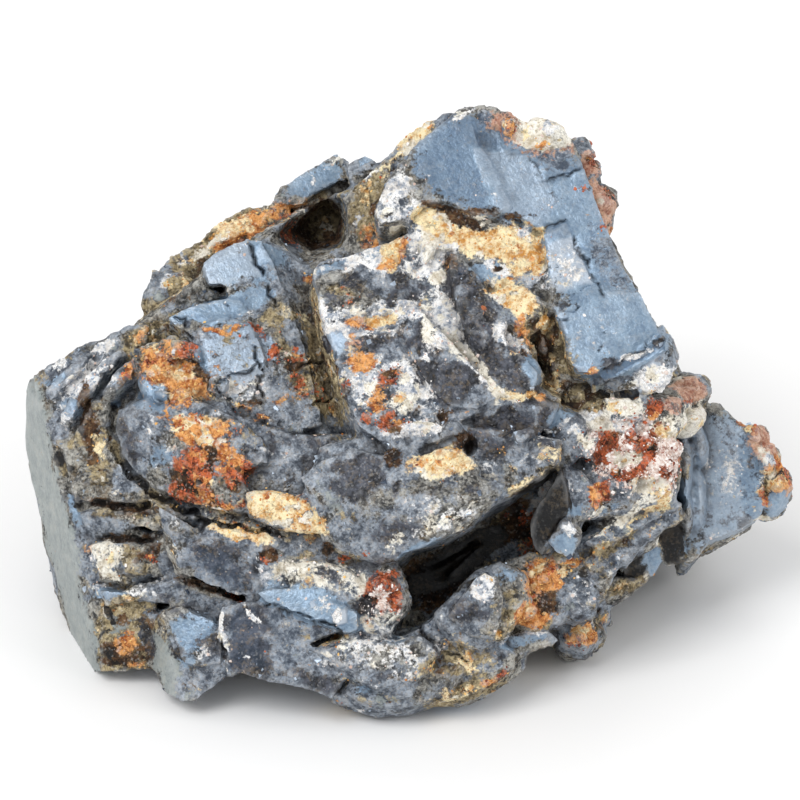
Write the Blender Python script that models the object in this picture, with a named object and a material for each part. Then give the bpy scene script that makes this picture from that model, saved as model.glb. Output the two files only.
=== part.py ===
"""A galena specimen: intergrown cubes of lead ore on an iron-stained matrix, as one solid.

The pieces are laid out in the specimen's display frame, in millimetres: right, up and out, where
out points from the best side of the stone to someone who looks down on it at DISPLAY_TILT from
DISPLAY_DISTANCE. Right and up are as that person sees them against the plane where out is 0.
The finished solid stands on its cut base, at z = 0.
"""

import math
import random

import bmesh
import bpy
from mathutils import Matrix, Vector, noise

MM = 0.001
DISPLAY_TILT = math.radians(30)
DISPLAY_DISTANCE = 711.0
DISPLAY_HEIGHT = 18.0
BASE_REACH = 60.0
LATTICE_TURN = math.radians(27)
LATTICE_LEAN = math.radians(17)

RIGHT = Vector((1, 0, 0))
UP = Vector((0, math.sin(DISPLAY_TILT), math.cos(DISPLAY_TILT)))
OUT = Vector((0, -math.cos(DISPLAY_TILT), math.sin(DISPLAY_TILT)))


def clear_scene():
    """Removes everything the startup file holds."""
    for obj in list(bpy.data.objects):
        bpy.data.objects.remove(obj)


def in_world(right, up, out):
    """A point of the display frame, in metres, in the specimen's own frame."""
    nearness = 1 - out / DISPLAY_DISTANCE
    placed = (RIGHT * right + UP * up) * nearness + OUT * out + Vector((0, 0, DISPLAY_HEIGHT))
    return placed * MM


def operand(name, mesh, collection):
    """A hidden piece that a Boolean joins to the specimen or cuts from it."""
    obj = bpy.data.objects.new(name, mesh)
    obj.hide_render = True
    obj.display_type = "WIRE"
    collection.objects.link(obj)
    return obj


def mesh_of(name, shape):
    """A mesh from a bmesh whose points are in the display frame, with its faces pointing out."""
    for vertex in shape.verts:
        vertex.co = in_world(*vertex.co)
    bmesh.ops.recalc_face_normals(shape, faces=shape.faces)
    mesh = bpy.data.meshes.new(name)
    shape.to_mesh(mesh)
    shape.free()
    return mesh


def hull(name, points, collection):
    """The convex block that just holds the given points."""
    shape = bmesh.new()
    for point in points:
        shape.verts.new(point)
    result = bmesh.ops.convex_hull(shape, input=shape.verts)
    unused = set(result["geom_interior"]) | set(result["geom_unused"])
    loose = [part for part in unused if isinstance(part, bmesh.types.BMVert)]
    bmesh.ops.delete(shape, geom=loose, context="VERTS")
    return operand(name, mesh_of(name, shape), collection)


def plane_height(outline, face, slopes, right, up):
    """How far out the face of a block lies at a place."""
    middle_right = sum(p[0] for p in outline) / len(outline)
    middle_up = sum(p[1] for p in outline) / len(outline)
    return face + slopes[0] * (right - middle_right) + slopes[1] * (up - middle_up)


def block(name, outline, face, slopes, depth, collection, spread=0.0, edge=(0.0, 0.0)):
    """A block with a flat front face, whose sides run back at right angles to that face.

    outline: the corners of the face as seen from the display side, (right, up).
    face: how far out the face lies at the middle of its outline.
    slopes: how much further out it lies for each millimetre to the right and upwards.
    depth: how far the sides run back. spread: how much wider they are there.
    edge: (drop, inset) of the broken edge round the face.
    """
    count = len(outline)
    middle = Vector((sum(p[0] for p in outline) / count, sum(p[1] for p in outline) / count, face))
    inward = Vector((slopes[0], slopes[1], -1)).normalized()
    reach = max(math.hypot(p[0] - middle.x, p[1] - middle.y) for p in outline)
    drop, inset = edge
    steps = [(0.0, -inset), (drop, 0.0), (depth, spread)] if drop else [(0.0, 0.0), (depth, spread)]
    shape = bmesh.new()
    rings = []
    for back, wider in steps:
        ring = []
        for right, up in outline:
            arm = Vector((right, up, plane_height(outline, face, slopes, right, up))) - middle
            ring.append(shape.verts.new(middle + arm * (1 + wider / reach) + inward * back))
        rings.append(ring)
    shape.faces.new(rings[0])
    shape.faces.new(rings[-1])
    for near, far in zip(rings, rings[1:]):
        for i in range(count):
            j = (i + 1) % count
            shape.faces.new((near[i], near[j], far[j], far[i]))
    return operand(name, mesh_of(name, shape), collection)


def lump(name, centre, radii, collection, turn=0.0, rough=0.18, seed=0, detail=1):
    """A knob or pit: a sphere stretched to its radii, turned in the display plane and roughened."""
    shape = bmesh.new()
    bmesh.ops.create_icosphere(shape, subdivisions=detail, radius=1.0)
    offset = Vector((seed * 7.3, seed * 3.1, seed * 5.7))
    turned = Matrix.Rotation(turn, 3, "Z")
    for vertex in shape.verts:
        swell = 1 + rough * noise.noise(vertex.co * 1.7 + offset) * 2
        grown = Vector(c * r * swell for c, r in zip(vertex.co, radii))
        vertex.co = turned @ grown + Vector(centre)
    return operand(name, mesh_of(name, shape), collection)


def lattice_axes(turn=LATTICE_TURN, lean=LATTICE_LEAN):
    """The three cleavage directions, as columns, in the display frame."""
    return Matrix.Rotation(-lean, 3, "X") @ Matrix.Rotation(turn, 3, "Z")


def cube(name, centre, size, collection, axes=None):
    """A cleavage block, with its edges along the crystal's three directions."""
    axes = axes or lattice_axes()
    shape = bmesh.new()
    bmesh.ops.create_cube(shape, size=1.0)
    for vertex in shape.verts:
        vertex.co = axes @ Vector(c * s for c, s in zip(vertex.co, size)) + Vector(centre)
    return operand(name, mesh_of(name, shape), collection)


def chip(name, centre, size, axes, chance, collection):
    """A broken cleavage chip: a small block whose corners are knocked about."""
    points = []
    for i in (-0.5, 0.5):
        for j in (-0.5, 0.5):
            for k in (-0.5, 0.5):
                corner = Vector((i * size[0], j * size[1], k * size[2]))
                knocked = Vector(c * chance.uniform(0.45, 1.1) for c in corner)
                points.append(tuple(axes @ knocked + Vector(centre)))
    return hull(name, points, collection)


def inside(outline, right, up):
    """Whether a place lies within an outline."""
    within = False
    for (x0, y0), (x1, y1) in zip(outline, outline[1:] + outline[:1]):
        if (y0 > up) != (y1 > up) and right < x0 + (up - y0) * (x1 - x0) / (y1 - y0):
            within = not within
    return within


def rubble(name, outline, face, slopes, count, sizes, collection, seed, proud=0.35):
    """Chips scattered over a face, most of them sunk in it, a few standing up."""
    chance = random.Random(seed)
    rights, ups = [p[0] for p in outline], [p[1] for p in outline]
    placed = 0
    while placed < count:
        right, up = chance.uniform(min(rights), max(rights)), chance.uniform(min(ups), max(ups))
        if not inside(outline, right, up):
            continue
        wide, tall = chance.uniform(*sizes) * 1.4, chance.uniform(*sizes)
        deep = chance.uniform(1.2, 2.0) * sizes[1]
        out = plane_height(outline, face, slopes, right, up) - deep * 0.4 + chance.uniform(0.2, 1.0) * proud
        turn, lean = chance.uniform(-0.9, 0.9), chance.uniform(-0.4, 0.4)
        axes = lattice_axes(LATTICE_TURN + turn, LATTICE_LEAN + lean)
        chip(f"{name}_{placed}", (right, up, out), (wide, tall, deep), axes, chance, collection)
        placed += 1


# Matrix -------------------------------------------------------------------------------------

CORE_FRONT = [
    (-27.0, 0.5), (-24.0, 3.2), (-18.0, 8.2), (-12.0, 12.4), (-4.0, 15.6), (4.0, 20.6), (9.0, 21.0),
    (13.2, 18.5), (15.2, 12.0), (19.0, 4.0), (21.4, -2.0), (21.4, -8.0), (17.6, -11.5),
    (10.4, -16.5), (3.0, -21.0), (-6.0, -20.6), (-16.0, -20.0), (-22.4, -19.8), (-23.6, -14.0),
    (-25.4, -7.0),
]
CORE_WAIST = [
    (-26.4, -3.0), (-24.0, 2.2), (-19.0, 8.0), (-12.0, 13.2), (-4.0, 16.6), (3.0, 20.2), (10.0, 21.0),
    (14.6, 17.0), (16.4, 12.0), (19.8, 4.0), (25.4, -3.0), (27.0, -6.6), (25.0, -9.4),
    (18.0, -13.2), (10.0, -18.0), (-24.0, -15.0),
]
CORE_BACK = [
    (-23.0, -2.0), (-17.0, 6.4), (-6.0, 13.0), (5.0, 16.6), (12.0, 13.0), (18.6, 3.0), (20.6, -6.0),
    (-20.0, -10.0),
]
CORE_REAR = [(-14.0, 1.0), (-6.0, 7.0), (4.0, 10.0), (11.0, 5.0), (12.0, -2.0), (-12.0, -4.0)]
OUTER_LIMIT = [
    (-28.0, 1.0), (-21.6, 5.4), (-19.2, 8.8), (-12.4, 14.2), (-8.0, 16.0), (-1.0, 18.6), (4.0, 22.0),
    (9.6, 21.6),
    (14.0, 18.6), (15.2, 14.0), (19.0, 5.0), (23.6, -1.0), (28.0, -6.0), (23.4, -10.4),
    (16.0, -16.0), (8.0, -22.0), (-22.0, -20.0), (-26.0, -10.0), (-29.0, -3.0),
]


def core_points():
    """The rings of the matrix that carries the crystals, from the display side to the rear."""
    rings = ((CORE_FRONT, 1.0), (CORE_WAIST, -7.0), (CORE_BACK, -19.0), (CORE_REAR, -27.0))
    return [(right, up, out) for ring, out in rings for right, up in ring]


# Crystals and ledges --------------------------------------------------------------------------


def grow_upper_crystal(growth):
    """The large cleaved cube at the upper right: low panes on its face and a polished, stepped foot."""
    face = [
        (-1.9, 15.6), (-1.0, 17.6), (0.0, 19.0), (1.4, 20.6), (3.0, 21.9), (4.2, 22.8), (5.0, 23.3),
        (6.4, 23.4), (7.8, 23.3), (8.3, 21.8), (10.4, 21.8), (12.8, 21.8), (14.1, 20.3), (15.2, 17.2),
        (16.3, 14.5), (17.5, 11.5), (19.2, 8.3), (20.8, 5.5), (16.0, 2.2), (14.1, 2.2), (13.4, 3.2),
        (13.2, 4.0), (13.4, 4.5), (12.8, 6.2), (12.0, 7.6), (11.9, 8.8), (11.8, 11.0), (11.3, 13.6),
        (9.6, 14.7), (8.4, 15.0), (7.2, 14.6), (5.6, 14.7), (4.2, 15.7), (1.9, 15.8), (0.8, 14.7),
        (-0.4, 14.1), (-1.5, 14.2),
    ]
    block("upper_crystal", face, 6.9, (-0.05, -0.31), 9.0, growth)
    block("upper_pane_left", [
        (0.0, 18.9), (1.4, 20.5), (3.0, 21.8), (4.2, 22.6), (5.6, 23.0), (6.2, 20.8), (7.1, 19.5),
        (8.0, 17.6), (9.0, 15.4), (7.2, 14.8), (5.6, 14.9), (4.2, 15.8), (2.4, 16.0), (0.8, 16.3),
    ], 6.15, (-0.05, -0.31), 3.0, growth)
    block("upper_pane_top", [
        (10.2, 19.8), (11.6, 20.2), (13.0, 20.2), (14.0, 19.7), (14.6, 18.2), (14.0, 18.2),
        (12.8, 17.9), (11.5, 17.5),
    ], 5.45,
        (-0.05, -0.31), 3.0, growth)
    block("upper_pane_low", [
        (12.0, 7.8), (14.0, 8.6), (16.2, 9.4), (16.5, 8.8), (19.2, 8.6), (20.7, 5.5), (17.0, 3.5),
        (16.2, 2.7), (15.8, 2.2), (14.2, 2.3), (13.5, 3.2), (13.4, 4.0), (13.6, 4.5), (12.9, 6.2),
    ], 9.55, (-0.05, -0.31), 3.0, growth)
    block("upper_pane_middle", [
        (11.4, 13.4), (13.3, 14.2), (13.8, 13.0), (14.7, 11.0), (15.7, 9.3), (13.8, 8.6), (12.0, 7.8),
        (12.0, 9.6),
    ], 7.95,
        (-0.05, -0.31), 3.0, growth)
    block("upper_foot_step", [
        (15.8, 2.1), (21.0, 5.1), (21.6, 4.3), (21.1, 3.8), (19.2, 2.7), (16.3, 1.3),
    ], 9.6, (0.0, 0.25), 4.0, growth)
    block("upper_foot", [
        (14.7, 1.9), (16.3, 2.2), (19.2, 3.4), (21.4, 4.3), (21.8, 3.8), (22.2, 2.6), (21.7, 1.7),
        (20.8, 0.6), (19.6, 0.2), (18.2, 0.6), (17.0, 0.3), (15.4, 0.6),
    ], 8.8, (0.05, 0.5), 2.6, growth)
    block("upper_foot_bright", [
        (18.6, 0.6), (19.2, 2.4), (21.1, 3.8), (21.8, 3.7), (22.1, 2.6), (21.6, 1.7), (20.7, 0.8),
        (19.7, 0.3),
    ], 9.3, (0.1, 0.3), 3.0, growth)


def grow_centre(growth):
    """The mottled block in the middle, with a pale crest, a dark rib and a crust of ochre."""
    body = [
        (-7.0, 10.2), (-6.6, 11.0), (-5.9, 11.4), (-4.3, 11.5), (-2.2, 12.2), (-0.6, 12.8),
        (1.6, 14.0), (5.6, 14.2), (8.0, 13.9), (11.7, 12.8), (11.9, 8.8), (12.2, 7.4), (11.6, 6.0),
        (10.4, 5.4), (10.2, 4.0), (11.3, 2.2), (11.0, 1.0), (9.6, -0.2), (7.7, -0.2), (6.2, -1.1),
        (3.2, -2.0), (0.8, -2.2), (-0.6, -2.6), (-2.6, -2.7), (-3.4, -1.9), (-4.0, -0.2), (-5.1, 3.2),
        (-5.9, 6.0), (-6.5, 8.2),
    ]
    block("centre_block", body, 8.9, (-0.03, -0.37), 12.0, growth, spread=0.8)
    block("centre_left_face", [
        (-6.6, 9.9), (-5.6, 10.9), (-3.8, 11.0), (-1.6, 11.0), (-0.5, 8.8), (-0.2, 6.4), (0.3, 4.0),
        (1.6, 1.6), (1.1, -0.8), (-0.3, -2.1), (-2.2, -2.4), (-3.0, -1.6), (-3.7, 0.0), (-4.8, 3.2),
        (-5.6, 6.0), (-6.2, 8.0),
    ], 9.6, (0.04, -0.4), 3.0, growth, edge=(0.5, 0.5))
    hull("centre_crest", [
        (-0.3, 8.3, 8.5), (1.0, 8.0, 9.0), (2.4, 5.9, 10.2), (3.7, 4.0, 11.2), (5.6, 3.0, 11.4),
        (6.9, 1.6, 11.8), (8.0, 0.2, 11.6), (6.2, -0.8, 11.6), (4.2, -0.6, 11.6), (2.6, 0.8, 11.2),
        (1.3, 3.2, 10.4), (0.0, 5.9, 9.2), (0.2, 8.3, 5.0), (8.0, 0.2, 7.0), (1.6, 0.0, 7.0),
    ], growth)
    rib = [
        (3.8, 11.4), (4.3, 11.9), (5.0, 11.5), (6.1, 10.4), (6.9, 9.1), (7.5, 7.8), (8.6, 6.7),
        (8.3, 5.4), (9.0, 4.0), (10.4, 3.0), (11.2, 2.1), (11.0, 0.8), (9.6, 0.0), (8.2, 0.3),
        (7.4, 1.4), (6.4, 3.0), (5.4, 4.6), (4.6, 7.0), (4.2, 8.8),
    ]
    block("centre_rib", rib, 9.8, (0.0, -0.38), 4.0, growth, edge=(0.5, 0.4))
    hull("rib_crown", [
        (4.2, 9.1, 8.7), (5.3, 9.4, 8.8), (6.6, 8.6, 8.8), (7.4, 7.0, 9.3), (7.5, 5.3, 10.3),
        (6.7, 3.8, 10.9), (5.6, 5.0, 10.6), (4.6, 6.9, 9.6), (5.3, 8.0, 9.7), (6.4, 5.8, 10.9),
        (5.6, 6.4, 6.0),
    ], growth)
    block("ochre_field", [
        (0.3, 14.2), (2.4, 15.5), (4.5, 15.4), (7.0, 14.2), (9.0, 14.2), (11.2, 13.1), (11.7, 11.2),
        (11.7, 8.6), (10.4, 8.0), (8.4, 8.3), (7.0, 9.3), (5.6, 11.0), (4.0, 12.3), (1.6, 12.2),
    ], 7.0, (0.0, -0.33), 4.0, growth, edge=(0.4, 0.6))
    block("ochre_step", [
        (6.9, 8.6), (8.4, 9.4), (10.4, 9.0), (11.8, 7.8), (11.2, 6.7), (9.6, 5.8), (8.0, 6.6),
        (7.4, 7.7),
    ], 8.9,
        (0.0, -0.35), 4.0, growth, edge=(0.4, 0.4))
    rim = [(9.6, 4.0), (10.7, 3.4), (11.4, 2.1), (11.0, 1.0), (10.4, 1.1), (9.8, 2.4)]
    block("blue_rim", rim, 10.4, (0.1, -0.2), 4.0, growth, edge=(0.3, 0.3))
    rubble("centre_rubble", body, 8.9, (-0.03, -0.37), 13, (0.8, 2.0), growth, 3, proud=0.6)


def grow_left_crystals(growth):
    """The stepped cubes left of the middle, parallel to the upper crystal."""
    block("left_tall_crystal", [
        (-15.8, 10.9), (-14.9, 11.8), (-13.4, 12.5), (-12.2, 12.8), (-11.0, 12.8), (-9.9, 10.7),
        (-8.8, 8.0), (-7.8, 5.1), (-7.0, 2.2), (-6.2, -2.0), (-8.0, -2.4), (-11.0, -0.8), (-13.6, 4.0),
        (-13.7, 8.2), (-13.9, 8.8), (-15.2, 9.1),
    ], 4.0, (0.0, -0.33), 10.0, growth)
    hull("left_tall_side", [
        (-11.2, 12.7, 1.7), (-8.8, 8.0, 3.2), (-7.0, 2.2, 5.1), (-6.2, -2.0, 6.4), (-9.9, 12.4, 1.0),
        (-9.1, 11.7, 0.3), (-7.8, 9.9, 0.6), (-7.0, 6.0, 1.9), (-5.8, 1.4, 3.4), (-5.1, -1.9, 4.8),
        (-11.0, 11.0, -6.0), (-8.0, 9.4, -6.0), (-5.3, -1.6, -4.0),
    ], growth)
    block("left_upper_pane", [
        (-15.8, 10.8), (-14.9, 11.6), (-13.4, 12.3), (-12.2, 12.6), (-11.7, 11.0), (-11.0, 9.6),
        (-11.4, 9.0), (-13.6, 8.7), (-15.2, 9.0),
    ],
        1.6, (-0.02, -0.33), 3.0, growth)
    block("left_step_crystal", [
        (-18.6, 6.6), (-17.3, 7.4), (-16.0, 7.8), (-13.8, 8.2), (-12.8, 8.0), (-11.8, 6.1),
        (-11.0, 4.3), (-10.6, 2.7), (-12.8, 1.9), (-14.9, 1.1), (-15.4, 2.2), (-16.3, 4.6),
        (-16.9, 5.0), (-17.6, 5.6),
    ], 4.9, (0.0, -0.33), 9.0, growth)
    block("left_step_pane", [
        (-16.2, 5.9), (-14.2, 6.6), (-12.0, 6.1), (-11.0, 4.3), (-10.7, 3.0), (-12.8, 2.2),
        (-14.8, 1.6), (-15.4, 2.7),
    ], 5.6,
        (0.0, -0.33), 3.0, growth)
    block("left_foot_crystal", [
        (-14.8, 1.0), (-12.8, 1.9), (-10.9, 2.6), (-10.1, 1.1), (-9.3, -0.5), (-9.8, -1.9),
        (-10.9, -1.4), (-13.0, -0.3),
    ], 6.3,
        (0.0, -0.33), 8.0, growth)
    block("left_lower_side", [
        (-10.6, 5.6), (-9.4, 5.9), (-8.6, 3.2), (-7.8, 0.6), (-7.0, -1.9), (-8.3, -2.4), (-9.3, -0.5),
        (-10.2, 2.2),
    ], 5.8,
        (-0.2, -0.33), 4.0, growth)


def grow_back_ridge(growth):
    """The stained ridge and pale crystals behind the pit at the top."""
    block("back_ridge", [
        (-9.9, 15.7), (-11.0, 15.5), (-12.4, 15.4), (-13.5, 14.8), (-14.3, 14.2), (-15.0, 13.6),
        (-15.7, 13.0), (-16.8, 12.3), (-17.8, 11.7), (-18.9, 10.9), (-19.8, 9.9), (-20.5, 8.6),
        (-20.6, 7.5), (-20.0, 6.6), (-18.2, 5.9), (-13.6, 7.0), (-8.6, 11.0),
    ], -5.2, (0.0, -0.35), 12.0, growth, spread=-2.0)
    block("back_ridge_low", [
        (-19.8, 9.8), (-18.7, 10.6), (-17.3, 10.4), (-16.0, 8.8), (-16.8, 7.5), (-18.6, 6.7),
        (-20.0, 7.0), (-20.3, 8.3),
    ], -3.0,
        (0.1, -0.3), 6.0, growth, edge=(0.6, 0.6))
    block("back_ridge_high", [
        (-14.9, 12.3), (-14.2, 13.9), (-12.3, 15.0), (-10.1, 15.4), (-9.1, 14.7), (-10.6, 13.6),
        (-12.8, 13.1),
    ], -5.6,
        (0.0, -0.5), 6.0, growth, edge=(0.6, 0.6))
    block("back_crystal_long", [
        (-9.8, 15.7), (-9.5, 17.0), (-8.6, 17.5), (-8.2, 17.9), (-6.7, 18.7), (-5.3, 19.6),
        (-4.1, 19.1), (-4.0, 17.8), (-5.1, 17.4), (-7.0, 16.5), (-8.0, 15.8),
    ], -7.0, (-0.1, -0.3), 10.0, growth)
    block("back_crystal_short", [
        (-4.4, 18.7), (-3.7, 19.3), (-2.8, 19.7), (-1.8, 19.1), (-0.8, 19.8), (0.0, 20.8), (1.0, 20.2),
        (0.0, 18.4), (-2.0, 17.1), (-3.8, 17.1),
    ], -5.8, (0.1, -0.3), 10.0, growth)
    block("pit_back", [
        (-8.3, 16.3), (-5.6, 18.6), (-3.8, 18.6), (-1.8, 18.2), (-1.9, 14.4), (-8.0, 13.1),
    ], -8.0, (0.0, -0.3), 10.0, growth)
    block("pit_right_wall", [
        (-3.8, 17.1), (-2.6, 18.2), (-1.9, 18.8), (-0.6, 19.9), (-0.5, 20.5), (0.2, 21.0), (1.4, 21.8),
        (2.2, 22.3), (2.9, 22.4), (3.3, 22.9), (4.2, 23.0), (3.2, 20.8), (0.8, 18.4), (-0.6, 15.6),
        (-0.3, 12.8), (-1.9, 12.0), (-4.2, 11.5), (-4.3, 14.2),
    ], 1.8, (0.5, -0.2), 14.0, growth,
        spread=-1.0)
    rubble("back_rubble", [
        (-9.9, 14.9), (-13.5, 13.9), (-15.7, 12.0), (-18.2, 9.6), (-18.7, 8.0), (-16.8, 7.0),
        (-13.4, 8.0), (-9.3, 12.5),
    ], -4.8,
        (0.0, -0.35), 4, (1.4, 3.0), growth, 4, proud=0.7)


def grow_upper_right_crust(growth):
    """The pale knob and the pink-brown crust behind the upper crystal."""
    block("pale_knob", [
        (7.8, 23.2), (8.6, 23.1), (9.3, 22.6), (10.2, 22.2), (10.6, 22.6), (11.0, 22.7), (11.9, 22.5),
        (12.9, 22.2), (13.4, 21.6), (13.9, 20.9), (14.2, 20.2), (12.8, 20.3), (11.2, 20.0),
        (9.9, 19.8), (8.5, 20.2), (8.0, 21.6),
    ], 5.3, (-0.1, -0.3), 7.0, growth, edge=(0.6, 0.5))
    lump("knob_crown", (12.2, 21.4, 4.6), (1.5, 1.0, 1.8), growth, turn=-0.4, seed=8)
    lump("knob_crumb", (8.7, 21.7, 5.4), (0.9, 1.1, 1.6), growth, seed=9)
    lump("pink_crust_0", (14.2, 19.7, 1.4), (1.4, 1.6, 2.6), growth, seed=3)
    lump("pink_crust_1", (15.0, 18.1, 1.0), (1.4, 1.7, 2.6), growth, seed=4)
    lump("pink_crust_2", (16.0, 15.8, 0.6), (1.6, 1.8, 2.8), growth, seed=5)
    lump("pink_crust_3", (16.2, 14.2, 0.6), (1.1, 1.7, 2.8), growth, seed=6)
    block("pink_bed", [
        (13.8, 20.0), (14.9, 18.4), (16.0, 16.0), (16.3, 13.8), (15.2, 14.4), (13.6, 18.4),
    ], 0.4, (0.0, 0.0), 6.0, growth)


def grow_left_mass(growth):
    """The broad stained mass on the left, its long curved lip, and the plate that ends it."""
    block("left_lip", [
        (-23.4, -0.6), (-22.1, 0.6), (-21.3, 2.2), (-20.8, 3.5), (-19.0, 4.3), (-16.3, 4.0),
        (-15.0, 1.3), (-13.0, -0.5), (-10.9, -1.6), (-8.0, -2.6), (-4.4, -2.7), (-5.0, -5.0),
        (-6.4, -6.9), (-7.5, -8.0), (-8.0, -9.8), (-9.3, -10.4), (-12.0, -10.2), (-14.9, -9.8),
        (-16.0, -9.3), (-17.9, -8.6), (-20.0, -7.6), (-21.6, -6.3), (-22.9, -4.5), (-23.4, -2.6),
    ], 6.6, (0.3, -0.12), 8.0, growth, spread=0.4, edge=(1.6, 1.4))
    block("lip_flank", [
        (-23.0, -1.0), (-20.8, -0.2), (-18.7, -1.6), (-17.1, -4.0), (-15.5, -6.4), (-12.8, -8.0),
        (-12.3, -9.3), (-14.9, -9.1), (-17.6, -8.3), (-19.8, -7.2), (-21.4, -5.9), (-22.6, -4.2),
        (-23.2, -2.4),
    ], 7.2, (0.5, 0.25), 5.0, growth, edge=(0.8, 0.7))
    block("lip_brow", [
        (-12.3, -7.5), (-10.6, -7.2), (-8.0, -7.5), (-6.2, -8.2), (-5.6, -9.4), (-5.9, -10.6),
        (-8.0, -10.7), (-10.2, -10.2), (-12.2, -9.4),
    ], 11.0,
        (0.1, 0.0), 4.0, growth, edge=(0.6, 0.6))
    block("stained_slope", [
        (-20.8, 4.3), (-18.4, 5.3), (-16.3, 4.6), (-15.0, 1.3), (-13.1, -0.5), (-14.7, -1.9),
        (-17.6, -2.4), (-20.0, -0.8), (-21.1, 1.3),
    ], 6.0,
        (0.2, -0.25), 6.0, growth, edge=(0.5, 0.6))
    block("stained_step", [
        (-19.2, -0.3), (-16.8, 0.3), (-13.9, -1.0), (-11.0, -3.2), (-10.6, -5.0), (-12.8, -5.6),
        (-12.0, -7.7), (-14.4, -8.6), (-16.3, -7.2), (-17.9, -4.0), (-18.7, -2.0),
    ], 8.4, (0.2, -0.1), 4.0, growth, edge=(0.5, 0.6))
    rubble("stained_rubble", [
        (-20.8, 3.8), (-16.3, 4.0), (-13.1, -0.6), (-10.7, -4.0), (-12.0, -8.0), (-15.5, -8.0),
        (-19.2, -2.4), (-21.0, 1.6),
    ], 7.3,
        (0.25, -0.15), 9, (0.8, 1.8), growth, 5, proud=0.4)
    block("left_shoulder", [
        (-29.4, 2.0), (-27.9, 3.0), (-26.7, 3.7), (-25.3, 4.6), (-23.6, 5.0), (-21.8, 6.0),
        (-20.2, 5.9), (-20.6, 4.0), (-21.4, 2.2), (-23.0, 1.0), (-24.6, 0.0), (-25.8, -1.9),
        (-26.7, -4.2), (-27.5, -3.7), (-28.2, -1.9), (-28.8, -0.3), (-29.3, 1.0),
    ], 1.6, (0.3, -0.4), 7.0, growth)
    block("shoulder_rib_0", [
        (-28.6, 0.6), (-27.2, 2.2), (-25.3, 3.8), (-24.5, 4.0), (-25.3, 2.7), (-27.0, 1.1),
        (-28.0, -0.3),
    ], 1.9, (0.3, -0.3), 4.0, growth,
        edge=(0.4, 0.3))
    block("shoulder_rib_1", [
        (-27.5, -1.4), (-25.9, 1.0), (-23.7, 3.4), (-22.4, 4.3), (-22.1, 3.8), (-23.7, 2.1),
        (-25.3, 0.2), (-26.7, -2.2),
    ], 3.6, (0.3, -0.3),
        4.0, growth, edge=(0.4, 0.4))
    block("shoulder_rib_2", [
        (-24.0, 0.6), (-22.6, 2.6), (-21.1, 3.8), (-21.0, 2.7), (-22.1, 1.3), (-23.4, 0.3),
    ], 4.8, (0.3, -0.3), 4.0, growth,
        edge=(0.4, 0.4))
    hull("left_plate", [
        (-28.8, -0.3, 1.6), (-27.6, -4.2, 2.2), (-26.5, -8.3, 2.8), (-25.4, -11.6, 3.4),
        (-24.2, -15.5, 3.8), (-23.9, -18.3, 4.0), (-24.0, -21.8, 3.4), (-29.9, 1.1, -2.0),
        (-30.0, -0.1, -2.6), (-29.8, -1.6, -4.2), (-30.0, -4.0, -5.0), (-29.0, -8.4, -5.6),
        (-28.1, -11.4, -5.2), (-27.9, -14.0, -5.0), (-27.3, -16.5, -5.4), (-26.2, -19.2, -3.4),
        (-24.6, -21.8, 1.0), (-29.6, 1.9, -3.0), (-22.4, -19.2, 1.0), (-20.0, -5.6, 1.0),
        (-22.4, 1.6, 0.0), (-20.0, -4.0, -8.0), (-20.0, -15.2, -5.0),
    ], growth)
    block("low_band_0", [
        (-27.2, -4.2), (-25.6, -1.9), (-24.6, 0.0), (-23.5, 0.0), (-23.4, -2.6), (-22.7, -4.6),
        (-21.4, -6.4), (-19.8, -7.8), (-21.8, -8.3), (-24.3, -8.0), (-26.1, -8.3),
    ], 4.2, (0.25, -0.05), 7.0, growth, edge=(0.4, 0.4))
    lump("low_step", (-24.2, -6.6, 3.2), (2.4, 1.3, 1.5), growth, turn=-0.3, seed=24)
    block("low_band_1", [
        (-25.9, -9.0), (-23.7, -8.6), (-21.4, -9.1), (-19.8, -8.6), (-18.9, -9.4), (-18.4, -10.6),
        (-20.8, -10.2), (-22.7, -10.9), (-25.3, -10.7),
    ], 4.6,
        (0.25, 0.25), 6.0, growth, edge=(0.4, 0.3))
    block("low_band_2", [
        (-25.1, -11.7), (-23.4, -11.2), (-20.8, -11.7), (-19.2, -11.0), (-18.1, -11.4), (-17.4, -12.8),
        (-17.1, -14.2), (-20.0, -14.2), (-22.2, -14.9), (-24.2, -14.6), (-24.5, -13.3),
    ], 5.2, (0.25, 0.15), 6.0, growth, edge=(0.4, 0.4))
    lump("low_knuckle", (-21.0, -13.1, 4.9), (1.9, 1.2, 1.4), growth, seed=25)
    block("low_band_3", [
        (-24.2, -15.2), (-22.4, -15.4), (-20.0, -14.7), (-17.0, -14.2), (-14.9, -15.0), (-12.8, -16.2),
        (-14.2, -17.3), (-16.3, -16.6), (-18.2, -16.3), (-20.8, -16.0), (-23.7, -16.5),
    ], 6.2, (0.22, 0.1),
        7.0, growth, edge=(0.3, 0.3))
    hull("fold_ridge", [
        (-19.4, -8.4, 9.6), (-18.4, -9.0, 9.8), (-17.9, -10.9, 9.4), (-17.3, -12.8, 9.0),
        (-17.0, -14.2, 8.6), (-17.9, -13.8, 7.0), (-18.7, -11.6, 7.4), (-16.0, -10.4, 9.0),
        (-15.7, -12.8, 8.0), (-18.4, -11.2, 2.0), (-16.0, -13.6, 2.0),
    ], growth)


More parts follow.
